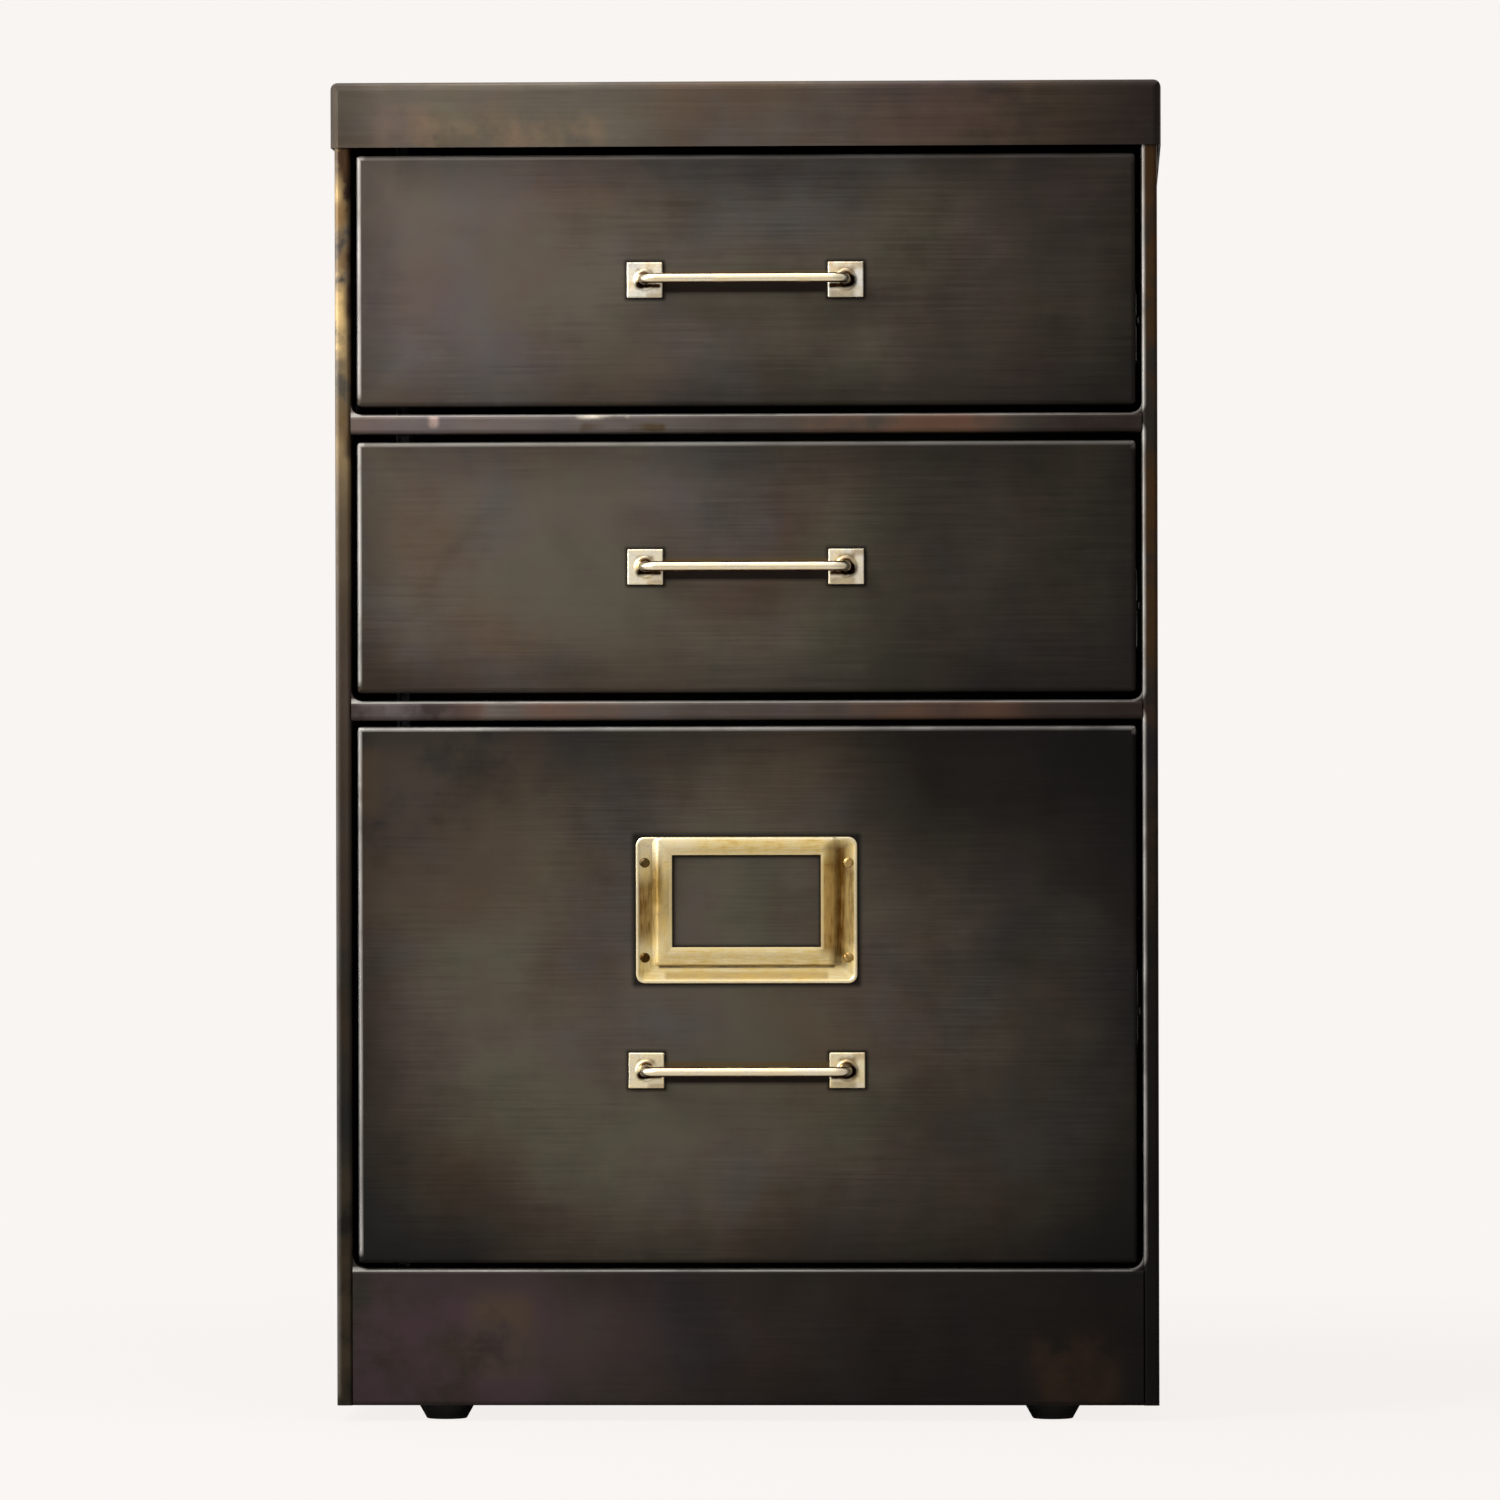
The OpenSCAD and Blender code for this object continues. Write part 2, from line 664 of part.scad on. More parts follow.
// Pressed card frame: flange on three sides, raised face round the window, open at the top
module label_holder()
    let (face_w = holder_w - 2 * step_x, face_h = holder_h - step_z,
         inside = (holder_rise - holder_t) / holder_rise)
    color(BRASS)
    translate([0, y_front, holder_z]) rotate([90, 0, 0]) difference() {
        union() {
            linear_extrude(holder_t) polygon(round_rect(holder_w, holder_h, holder_r));
            linear_extrude(holder_t + 0.5) difference() {
                polygon(round_rect(holder_w, holder_h, holder_r));
                polygon(round_rect(holder_w - 3, holder_h - 3, holder_r - 1.5));
            }
            translate([0, step_z / 2, 0])
                leaning_block(face_w, face_h, holder_rise, flank_x, flank_z);
        }
        translate([0, step_z / 2 + holder_t, -eps])
            leaning_block(face_w - 2 * holder_t, face_h, holder_rise - holder_t + eps,
                          flank_x * inside, flank_z * inside);
        translate([-window_w / 2, window_lift - window_h / 2, -1]) cube([window_w, window_h, 10]);
        for (x = [-1, 1], y = [-1, 1])
            translate([x * holder_screw.x, y * holder_screw.y, -1])
                cylinder(h = 5, d = holder_screw_d + fit);
    }

module label_screws()
    color(BRASS)
    for (x = [-1, 1], z = [-1, 1])
        translate([x * holder_screw.x, y_front - holder_t, holder_z + z * holder_screw.y])
            rotate([-90, 0, 0]) screw(head_d = 5, head_h = 1.2, length = 5, d = holder_screw_d);

// ---------------------------------------------------------------- assembly

top_cap();
side_panel(-1);  // side_panel_left
side_panel(1);  // side_panel_right
back_panel();
base_pan();
plinth();
divider_rail(z_rail_up);  // divider_rail_upper
divider_rail(z_rail_low);  // divider_rail_lower
header_rail();
upright(-1, slide_y + slide_screw_in);  // upright_front_left
upright(1, slide_y + slide_screw_in);  // upright_front_right
upright(-1, slide_y + slide_len - slide_screw_in);  // upright_rear_left
upright(1, slide_y + slide_len - slide_screw_in);  // upright_rear_right
foot(0);  // foot_front_left
foot(1);  // foot_rear_left
foot(2);  // foot_front_right
foot(3);  // foot_rear_right
foot_screws();
back_panel_screws();
slide_screws();
for (d = DRAWERS) {
    slide_outer(d);
    slide_intermediate(d);
    slide_inner(d);
    cage_outer(d);
    cage_inner(d);
    front_shell(d);
    front_liner(d);
    drawer_body(d);
    drawer_back(d);
    pull_bar(d);
    pull_posts(d);
    pull_screws(d);
}
label_holder();
label_screws();
hang_rail(-1);  // hang_rail_left
hang_rail(1);  // hang_rail_right
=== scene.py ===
# %% [markdown]
# # A drawer cabinet in blackened steel and brass
# Two box drawers stand above a file drawer in a folded sheet-steel body. The engineering model
# already holds every sheet, slide, pull and screw at its real size. This script adds what the eye
# needs: the patina on the steel, the aged brass, the pressed card frame, the screws with their
# slots, and a plain studio around them.

# %% Load the engineering model
import math

import bmesh
import bpy
from mathutils import Matrix, Vector


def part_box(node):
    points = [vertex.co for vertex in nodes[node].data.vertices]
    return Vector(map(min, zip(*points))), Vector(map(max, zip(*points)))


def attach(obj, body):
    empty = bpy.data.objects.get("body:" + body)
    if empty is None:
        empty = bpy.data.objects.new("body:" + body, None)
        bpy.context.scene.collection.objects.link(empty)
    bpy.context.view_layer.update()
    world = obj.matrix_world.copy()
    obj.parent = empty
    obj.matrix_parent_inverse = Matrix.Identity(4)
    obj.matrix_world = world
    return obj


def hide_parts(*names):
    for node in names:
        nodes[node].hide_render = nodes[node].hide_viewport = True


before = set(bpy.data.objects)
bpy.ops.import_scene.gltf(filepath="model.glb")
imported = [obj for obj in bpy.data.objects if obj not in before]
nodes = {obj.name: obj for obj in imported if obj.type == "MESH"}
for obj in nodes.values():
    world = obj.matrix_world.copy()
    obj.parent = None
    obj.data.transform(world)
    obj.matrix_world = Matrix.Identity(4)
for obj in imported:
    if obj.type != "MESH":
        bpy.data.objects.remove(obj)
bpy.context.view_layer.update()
DRAWERS = ("upper", "centre", "file")
MM = 0.001

# %% [markdown]
# Colours are written as the hex values that a screen shows. A shader's sockets want linear light,
# so one function turns the one into the other. A second one adds a node to a tree, sets its
# options, fills or links its sockets and hands back the output that the next node needs, which
# keeps every material below short enough to read. The rest are shorthand for what comes up most:
# an empty tree and a new object.


# %% Small helpers
def linear(hex_colour):
    """An sRGB hex colour as the linear RGBA that a socket takes."""
    channels = [int(hex_colour[i : i + 2], 16) / 255 for i in (1, 3, 5)]
    return [c / 12.92 if c <= 0.04045 else ((c + 0.055) / 1.055) ** 2.4 for c in channels] + [1.0]


def add(tree, kind, inputs=None, out=0, stops=None, **settings):
    """Adds a node and returns its output. inputs maps a socket's name or number to a value, or to
    the output that feeds it. stops are a colour ramp's positions with their hex colours."""
    node = tree.nodes.new("ShaderNode" + kind)
    for option, value in settings.items():
        setattr(node, option, value)
    for socket, value in (inputs or {}).items():
        if isinstance(value, bpy.types.NodeSocket):
            tree.links.new(value, node.inputs[socket])
        else:
            node.inputs[socket].default_value = value
    for number, (position, colour) in enumerate(stops or ()):
        elements = node.color_ramp.elements
        stop = elements[number] if number < len(elements) else elements.new(position)
        stop.position, stop.color = position, linear(colour)
    return node.outputs[out] if node.outputs else node


def blank_tree(owner):
    """The emptied node tree of a material or world."""
    owner.use_nodes = True
    owner.node_tree.nodes.clear()
    return owner.node_tree


def placed(name, data):
    """A new object in the scene."""
    thing = bpy.data.objects.new(name, data)
    bpy.context.scene.collection.objects.link(thing)
    return thing


# %% [markdown]
# ## Camera
# The cabinet is seen from about five metres away, from a point inside its width and half-way up,
# so that the sides and the top stay hidden. The long lens keeps the uprights nearly parallel.

# %% Camera
FRONT_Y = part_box("plinth")[0].y
CAMERA_AWAY = 5.0
CAMERA_RIGHT = 0.182
CAMERA_HEIGHT = 0.349
CAMERA_TURN, CAMERA_TILT, CAMERA_ROLL = 2.063, -0.110, 0.129
LENS_MM = 237.6

turn = (
    Matrix.Rotation(math.radians(CAMERA_TURN), 3, "Z")
    @ Matrix.Rotation(math.radians(CAMERA_TILT), 3, "X")
    @ Matrix.Rotation(math.radians(CAMERA_ROLL), 3, "Y")
)
right, forward, up = turn.col[0], turn.col[1], turn.col[2]
camera_data = bpy.data.cameras.new("camera")
camera_data.lens = LENS_MM
camera_data.sensor_width = 36.0
camera_data.clip_end = 60.0
camera = placed("camera", camera_data)
pose = Matrix((right, up, -forward)).transposed().to_4x4()
pose.translation = Vector((CAMERA_RIGHT, FRONT_Y - CAMERA_AWAY, CAMERA_HEIGHT))
camera.matrix_world = pose
bpy.context.scene.camera = camera
print(f"camera {CAMERA_AWAY} m from the drawer fronts, {LENS_MM:.0f} mm lens")

# %% [markdown]
# ## Studio
# Metal looks like what it reflects. The world is plain paper white to the camera. The steel
# reflects the same white, but softly brighter behind, above and to the left, and dimmer in front
# and to the right, as in a room with one big window. One large lamp stands to the left and in
# front, close enough that its light falls away across the drawer fronts.

# %% World
PAPER = "#f9f5f2"
ROOM_LEVEL = 0.95
ROOM_SLOPE = (-0.45, 0.20, 0.20)
FILL_LEVEL = 0.75
bpy.context.scene.view_settings.view_transform = "Standard"

world = bpy.data.worlds.new("studio")
bpy.context.scene.world = world
tree = blank_tree(world)
facing = add(tree, "TexCoord", out="Generated")
slope = add(tree, "VectorMath", {0: facing, 1: ROOM_SLOPE}, "Value", operation="DOT_PRODUCT")
level = add(tree, "Math", {0: slope, 1: ROOM_LEVEL}, operation="ADD")
seen_directly = add(tree, "LightPath", out="Is Camera Ray")
seen_through = add(tree, "LightPath", out="Is Transmission Ray")
seen = add(tree, "Math", {0: seen_directly, 1: seen_through}, operation="MAXIMUM")
mirrored = add(tree, "LightPath", out="Is Glossy Ray")
fill = add(tree, "Background", {"Color": linear(PAPER), "Strength": FILL_LEVEL})
room = add(tree, "Background", {"Color": linear(PAPER), "Strength": level})
paper = add(tree, "Background", {"Color": linear(PAPER), "Strength": 1.0})
lit = add(tree, "MixShader", {0: mirrored, 1: fill, 2: room})
add(tree, "OutputWorld", {"Surface": add(tree, "MixShader", {0: seen, 1: lit, 2: paper})})


# %% Lamps
def soft_lamp(name, place, aim, size, watts):
    """A square lamp at place that faces aim."""
    data = bpy.data.lights.new(name, "AREA")
    data.shape = "SQUARE"
    data.size = size
    data.energy = watts
    lamp = placed(name, data)
    lamp.location = place
    lamp.rotation_euler = (Vector(aim) - Vector(place)).to_track_quat("-Z", "Y").to_euler()
    return lamp


soft_lamp("window_lamp", place=(-0.85, -1.15, 1.1), aim=(-0.1, -0.2, 0.42), size=0.7, watts=20)
soft_lamp("side_lamp", place=(-1.5, -0.42, 0.5), aim=(0, -0.24, 0.4), size=0.5, watts=6)
soft_lamp("top_lamp", place=(-0.3, -0.3, 2.2), aim=(0, -0.2, 0.5), size=1.0, watts=14)
print("room and three lamps ready")

# %% [markdown]
# The floor is white paper. Near the cabinet it is real paper that takes a shadow; farther off it
# glows evenly, so that no horizon shows. The fade is measured from the cabinet's middle on the
# floor's own coordinates.

# %% Paper floor
FLOOR_HALF = 12.0
SHADOW_REACH, FADE_END = 0.42, 1.1
NEAR_PAPER = "#d3cfcc"  # the lamps lift it to the tone of the paper farther off
floor_mesh = bpy.data.meshes.new("floor")
corners = [(x * FLOOR_HALF, y * FLOOR_HALF, 0) for x, y in ((-1, -1), (1, -1), (1, 1), (-1, 1))]
floor_mesh.from_pydata(corners, [], [(0, 1, 2, 3)])
floor = placed("floor", floor_mesh)

paper_sweep = bpy.data.materials.new("white_paper_sweep")
tree = blank_tree(paper_sweep)
away = add(tree, "VectorMath", {0: add(tree, "TexCoord", out="Object")}, "Value", operation="LENGTH")
fade = add(
    tree,
    "MapRange",
    {"Value": away, "From Min": SHADOW_REACH, "From Max": FADE_END, "To Min": 0.93, "To Max": 1.0},
    interpolation_type="SMOOTHSTEP",
)
matt = add(tree, "BsdfDiffuse", {"Color": linear(NEAR_PAPER)})
glow = add(tree, "Emission", {"Color": linear(PAPER), "Strength": 1.0})
near_and_far = add(tree, "MixShader", {0: fade, 1: matt, 2: glow})
seen_directly = add(tree, "LightPath", out="Is Camera Ray")
dim = add(tree, "BsdfDiffuse", {"Color": linear("#b0aca8")})
add(tree, "OutputMaterial", {"Surface": add(tree, "MixShader", {0: seen_directly, 1: dim, 2: near_and_far})})
floor_mesh.materials.append(paper_sweep)
print(f"paper floor {2 * FLOOR_HALF:.0f} m wide, glowing evenly from {FADE_END} m off")

# %% [markdown]
# Stains and wax keep to places. This mask is 1 on a rectangle of the upright plane, seen from the
# front, and fades out over a given reach. It uses the signed distance to the rectangle, so that
# its corners can be round, and so that the outline alone can be marked too.


# %% A mask for places
def beside(tree, place, x, z, half_x, half_z, reach, strength=1.0, mirror=True, outline=False, corner=0.0):
    """The mask's output, from a centre and half sizes in mm, also mirrored to the other side.
    corner is the radius of the rectangle's corners."""
    if mirror:
        place = add(tree, "VectorMath", {0: place}, operation="ABSOLUTE")
    place = add(tree, "Mapping", {"Vector": place, "Location": (-x * MM, 0, -z * MM), "Scale": (1, 0, 1)})
    away = add(tree, "VectorMath", {0: place}, operation="ABSOLUTE")
    core = ((half_x - corner) * MM, 0, (half_z - corner) * MM)
    away = add(tree, "VectorMath", {0: away, 1: core}, operation="SUBTRACT")
    outer = add(tree, "VectorMath", {0: away, 1: (0, 0, 0)}, operation="MAXIMUM")
    outside = add(tree, "VectorMath", {0: outer}, "Value", operation="LENGTH")
    parts = add(tree, "SeparateXYZ", {0: away}).node.outputs
    inside = add(tree, "Math", {0: parts[0], 1: parts[2]}, operation="MAXIMUM")
    inside = add(tree, "Math", {0: inside, 1: 0.0}, operation="MINIMUM")
    depth = add(tree, "Math", {0: outside, 1: inside}, operation="ADD")
    depth = add(tree, "Math", {0: depth, 1: corner * MM}, operation="SUBTRACT")
    if outline:
        depth = add(tree, "Math", {0: depth}, operation="ABSOLUTE")
    fade = {"Value": depth, "From Min": reach * MM, "From Max": 0.0, "To Max": strength}
    return add(tree, "MapRange", fade, interpolation_type="SMOOTHSTEP")


def blot(colour, x, z, half_x, half_z, reach, strength):
    """A wash of one colour at one place."""
    spot = {"x": x, "z": z, "half_x": half_x, "half_z": half_z, "reach": reach, "strength": strength}
    return colour, spot | {"mirror": False}


# %% [markdown]
# ## Blackened steel
# The sheets are mild steel that was brushed, darkened with acid and waxed. The darkening leaves
# clouds a hand's width across, in umber, olive and plum. The brushing leaves fine scratches along
# one direction, and hands and cloths wear folded edges back to bare metal. Light and shade are
# painted in too: a falloff of the tones away from the lamps, painted shadow round fittings and
# painted highlights on edges that face the lamps. A picture of this would fix it to one sheet, so
# noise fields on real coordinates make it instead, and each sheet gets its own offset.

# %% Sizes and colours of the patina
CLOUD = 190 * MM
MOTTLE = 36 * MM
SCRATCH_LENGTH = 55 * MM
SCRATCH_SPACING = 1.2 * MM  # real ones are ten times finer and wouldn't show, so these are coarse
SMUDGE = 45 * MM
DRIFT = 95 * MM
HALO_WIDTH = 30 * MM
# Edge lines of bare steel, which also carry a painted highlight.
EDGE_LINE_WIDTH, EDGE_LINE_FULL = 2.8 * MM, 0.6 * MM
FRONT_FULL, FRONT_GONE = 5 * MM, 22 * MM  # how far hands, rust and the painted light and shade reach behind the front
# Old wax in corners, and the colour of painted shadow round fittings and under the rods.
WAX_AND_SHADE = "#0c0a09"
# Bare steel, also the colour of the painted highlights on the edges.
BARE_STEEL_AND_HIGHLIGHT = "#cecbc5"
GRAINS = {"X": (0, 1, 1), "Y": (1, 0, 1), "Z": (1, 1, 0)}
# channel of the drift, where the tint starts and where it is full, colour and strength
TINTS = (
    (0, 0.47, 0.68, "#565c45", 0.32),
    (1, 0.49, 0.70, "#5c424b", 0.30),
    (2, 0.47, 0.68, "#74533a", 0.40),
    (0, 0.50, 0.30, "#434d57", 0.38),
)

# %% [markdown]
# The worn edges need to know where the sheet's edges are. A point on the surface of a box-shaped
# sheet always has one of its three distances to the box near zero, so the middle one of the three
# says how far the nearest edge is.


# %% How far the nearest edge is
def edge_distance(tree, centred, half):
    """The middle one of a point's three distances to the faces of a box."""
    folded = add(tree, "VectorMath", {0: centred}, operation="ABSOLUTE")
    inward = add(tree, "VectorMath", {0: tuple(half), 1: folded}, operation="SUBTRACT")
    sides = add(tree, "SeparateXYZ", {0: inward}).node.outputs
    lesser = add(tree, "Math", {0: sides[0], 1: sides[1]}, operation="MINIMUM")
    greater = add(tree, "Math", {0: sides[0], 1: sides[1]}, operation="MAXIMUM")
    greater = add(tree, "Math", {0: greater, 1: sides[2]}, operation="MINIMUM")
    return add(tree, "Math", {0: lesser, 1: greater}, operation="MAXIMUM")


# %% [markdown]
# The film's tone comes from one sum: how far the point lies from the place that is painted lightest,
# which paints the light's falloff across the sheet, plus a share of each noise field. A colour ramp
# turns the sum into one of the sheet's tones. Then slow drifts lean the hue towards olive, plum,
# bronze and blue and leave the tone, which the blend type Color does.

# %% Tone of the film
LIT_SPOT_SHARE, CLOUD_SHARE, MOTTLE_SHARE, SCRATCH_SHARE = 0.62, 0.65, 0.28, 0.20
TONE_STOPS = (0.47, 0.72, 0.94, 1.17)
TONE_TOP = 1.25


def film_and_falloff_colour(tree, centred, half, shares, drift, tones, lit_spot, fall, curve):
    """The colour of the film, with the light's falloff painted in from its lightest place. shares are the noise
    fields with their weights.
    """
    # Painted light falloff: the tone darkens with distance from the lightest place.
    nearer = {
        "Vector": centred,
        "Location": (-lit_spot[0] * fall[0], 0, -lit_spot[1] * fall[1]),
        "Scale": (fall[0] / half.x, 0, fall[1] / half.z),
    }
    film = add(tree, "VectorMath", {0: add(tree, "Mapping", nearer)}, "Value", operation="LENGTH")
    film = add(tree, "Math", {0: film, 1: curve}, operation="POWER")
    blend = add(tree, "Math", {0: film, 1: -LIT_SPOT_SHARE, 2: LIT_SPOT_SHARE}, operation="MULTIPLY_ADD")
    for field, share in shares:
        blend = add(tree, "Math", {0: field, 1: share, 2: blend}, operation="MULTIPLY_ADD")
    blend = add(tree, "MapRange", {"Value": blend, "From Max": TONE_TOP})
    stops = [(position / TONE_TOP, tone) for position, tone in zip(TONE_STOPS, tones)]
    colour = add(tree, "ValToRGB", {"Fac": blend}, stops=stops)
    channels = add(tree, "SeparateColor", {"Color": drift}).node.outputs
    for channel, start, end, tint, strength in TINTS:
        amount = {"Value": channels[channel], "From Min": start, "From Max": end, "To Max": strength}
        mixed = {0: add(tree, "MapRange", amount), 6: colour, 7: linear(tint)}
        colour = add(tree, "Mix", mixed, 2, data_type="RGBA", blend_type="COLOR")
    return colour


# %% [markdown]
# Hands reach the left and top edges most, and only at the front, and drawers rub the outlines of
# the openings. Both are strips round an edge, and both also carry painted highlights where the edges
# face the lamps on the left and above. A smudged noise breaks them up, and they are weaker on the
# right, where fewer hands pass and where the painted light falls off.


# %% Where the steel is rubbed bright
def rubbed_and_highlit(tree, place, centred, half, edge, smudge, frontal, wear_and_highlight, rubbed_and_highlit_rims):
    """How bare the steel is, with painted highlights on the edges that face the lamps, from 0 to 1."""
    spots = add(tree, "SeparateXYZ", {0: centred}).node.outputs
    low_end = {"Value": spots[2], "From Min": 3 * MM - half.z, "From Max": 7 * MM - half.z, "To Max": wear_and_highlight[0]}
    # The left and top edges face the lamps and get the most: wear and painted highlight.
    favoured = 0.0
    for axis, reach, strength in ((0, -half.x, add(tree, "MapRange", low_end)), (2, half.z, wear_and_highlight[1])):
        inner, outer = (reach - math.copysign(band, reach) for band in (5 * MM, 3 * MM))
        near = {"Value": spots[axis], "From Min": inner, "From Max": outer, "To Max": strength}
        favoured = add(tree, "Math", {0: favoured, 1: add(tree, "MapRange", near)}, operation="MAXIMUM")
    rub_and_highlight = add(tree, "MapRange", {"Value": edge, "From Min": EDGE_LINE_WIDTH, "From Max": EDGE_LINE_FULL})
    rub_and_highlight = add(tree, "Math", {0: rub_and_highlight, 1: favoured}, operation="MULTIPLY")
    rub_and_highlight = add(tree, "Math", {0: rub_and_highlight, 1: frontal}, operation="MULTIPLY")
    for rim in rubbed_and_highlit_rims:
        rub_and_highlight = add(tree, "Math", {0: rub_and_highlight, 1: beside(tree, place, **rim)}, operation="MAXIMUM")
    patchy = add(tree, "MapRange", {"Value": smudge, "From Min": 0.35, "From Max": 0.62, "To Min": 0.55})
    rub_and_highlight = add(tree, "Math", {0: rub_and_highlight, 1: patchy}, operation="MULTIPLY")
    # Weaker to the right, away from the lamps: painted light falloff.
    dimmer = {"Value": spots[0], "From Min": half.x, "From Max": -half.x / 3, "To Min": 0.5, "To Max": 1.0}
    return add(tree, "Math", {0: rub_and_highlight, 1: add(tree, "MapRange", dimmer)}, operation="MULTIPLY", use_clamp=True)


# %% [markdown]
# The patina lays these over one another: the film with its painted light falloff, old wax and
# painted shade in the corners and round fittings, straw-coloured metal, rust with patches of painted
# light and shade, and bare steel with painted highlights on the edges. Wax levels the brushing, so
# the sheet is smoother there, and smudges dull it.


# %% Patina
def patina(
    name, tones, seed, box, lit_spot, fall, curve=1.0, grain="X", wear_and_highlight=(1.0, 0.3), rubbed_and_highlit_rims=(), halo=0.4,
    residue_and_shade=(), washes_and_painted_light=(), straw=None,
):
    """Blackened, brushed and waxed steel: a dark oxide film, so it is a little less of a mirror
    than bare metal and its colour stays brown-black at every angle. tones run from dark to light.
    box is the pair of corners whose left and top edges are worn, and painted with highlights, as much
    as wear_and_highlight says. lit_spot is the place that is painted lightest and fall how fast it
    darkens from there, in half sizes of the sheet, which paints the light's falloff; a curve above 1
    keeps the middle even. rubbed_and_highlit_rims lists the outlines of openings, rubbed and painted
    with highlights, as given to beside. residue_and_shade and washes_and_painted_light are colours with
    their places: old wax and painted shadow, and patchy rust or oxide with some painted light and shade,
    which stays at the front. straw is the height range and colour of straw-coloured metal that shows
    through, and how much of it is left behind the front."""
    steel = bpy.data.materials.new(name)
    tree = blank_tree(steel)
    low, high = box
    half = (high - low) / 2
    place = add(tree, "TexCoord", out="Object")
    here = add(tree, "Mapping", {"Vector": place, "Location": (seed * 1.31, seed * 0.77, seed * 0.53)})
    cloud = add(tree, "TexNoise", {"Vector": here, "Scale": 1 / CLOUD, "Detail": 2.5, "Distortion": 0.3})
    mottle = add(tree, "TexNoise", {"Vector": here, "Scale": 1 / MOTTLE, "Detail": 5.0, "Roughness": 0.6})
    drifting = {"Vector": here, "Scale": 1 / DRIFT, "Detail": 5.0, "Roughness": 0.62}
    drift = add(tree, "TexNoise", drifting, "Color")
    smudge = add(tree, "TexNoise", {"Vector": here, "Scale": 1 / SMUDGE, "Detail": 3.0, "Distortion": 1.0})
    across = [fine / SCRATCH_SPACING if fine else 1 / SCRATCH_LENGTH for fine in GRAINS[grain]]
    combed = add(tree, "Mapping", {"Vector": here, "Scale": across})
    scratch = add(tree, "TexNoise", {"Vector": combed, "Scale": 1.0, "Detail": 3.0, "Roughness": 0.6})

    centred = add(tree, "Mapping", {"Vector": place, "Location": -(low + high) / 2})
    at = add(tree, "SeparateXYZ", {0: place}).node.outputs
    near_front = {"Value": at[1], "From Min": low.y + FRONT_GONE, "From Max": low.y + FRONT_FULL}
    frontal = add(tree, "MapRange", near_front)
    edge = edge_distance(tree, centred, half)
    shares = ((cloud, CLOUD_SHARE), (mottle, MOTTLE_SHARE), (scratch, SCRATCH_SHARE))
    colour = film_and_falloff_colour(tree, centred, half, shares, drift, tones, lit_spot, fall, curve)
    rub_and_highlight = rubbed_and_highlit(tree, place, centred, half, edge, smudge, frontal, wear_and_highlight, rubbed_and_highlit_rims)

    # Darker within HALO_WIDTH of the sheet's edges: old wax, and painted shade towards the edges.
    corners = {"Value": edge, "From Min": 0.0, "From Max": HALO_WIDTH, "To Min": halo, "To Max": 0.0}
    rim = add(tree, "MapRange", corners, interpolation_type="SMOOTHSTEP")
    rim = add(tree, "Math", {0: rim, 1: smudge}, operation="MULTIPLY")
    rim = add(tree, "Math", {0: rim, 1: 1.6}, operation="MULTIPLY", use_clamp=True)
    waxed_and_shaded = [(WAX_AND_SHADE, rim)] + [(dark, beside(tree, place, **spot)) for dark, spot in residue_and_shade]
    for dark, amount in waxed_and_shaded:
        colour = add(tree, "Mix", {0: amount, 6: colour, 7: linear(dark)}, 2, data_type="RGBA")
    spotty = add(tree, "MapRange", {"Value": mottle, "From Min": 0.38, "From Max": 0.56})
    if straw:
        start, end, metal, behind = straw
        bare = add(tree, "MapRange", {"Value": at[2], "From Min": start, "From Max": end, "To Max": 0.9})
        bare = add(tree, "Math", {0: bare, 1: spotty}, operation="MULTIPLY")
        reached = add(tree, "MapRange", near_front | {"To Min": behind})
        bare = add(tree, "Math", {0: bare, 1: reached}, operation="MULTIPLY")
        colour = add(tree, "Mix", {0: bare, 6: colour, 7: linear(metal)}, 2, data_type="RGBA")
    spotty = add(tree, "Math", {0: spotty, 1: frontal}, operation="MULTIPLY")
    for wash, spot in washes_and_painted_light:
        amount = add(tree, "Math", {0: beside(tree, place, **spot), 1: spotty}, operation="MULTIPLY")
        colour = add(tree, "Mix", {0: amount, 6: colour, 7: linear(wash)}, 2, data_type="RGBA")
    # Bare steel and painted highlight on the bright edges.
    colour = add(tree, "Mix", {0: rub_and_highlight, 6: colour, 7: linear(BARE_STEEL_AND_HIGHLIGHT)}, 2, data_type="RGBA")

    dulled = {"Value": smudge, "From Min": 0.3, "From Max": 0.7, "To Min": 0.34, "To Max": 0.50}
    rough = add(tree, "MapRange", dulled)
    rough = add(tree, "Math", {0: scratch, 1: 0.16, 2: rough}, operation="MULTIPLY_ADD")
    rough = add(tree, "Mix", {0: rub_and_highlight, 2: rough, 3: 0.26})
    bump = add(tree, "Bump", {"Height": scratch, "Strength": 0.12, "Distance": 0.05 * MM})
    surface = {"Base Color": colour, "Metallic": 0.85, "Roughness": rough, "Normal": bump}
    add(tree, "OutputMaterial", {"Surface": add(tree, "BsdfPrincipled", surface)})
    return steel


# %% Tones of the sheets, from dark to light
# LID is painted lighter for the cap up in the light, DEEP darker for the plinth low down, and SHADE darkest for
# the right side in shade: painted light and shade on one steel.
UMBER = ("#10110e", "#23211c", "#3a332b", "#534c43")
DEEP = ("#0d0b09", "#191613", "#2a2421", "#3a322e")
SHADE = ("#0b0908", "#14110f", "#1f1b18", "#2a241f")
LID = ("#1a1614", "#332a24", "#4a4138", "#5c554a")
RAIL = ("#181412", "#332b27", "#49413d", "#605855")

# %% [markdown]
# The three fronts share their tones and differ in where they are painted lightest. Dark marks round
# the plates of a pull and round the card frame, and a brown line under and over the rod, are painted
# shadow of the fittings; the file drawer is also painted darker at its top-right and bottom-right corners.

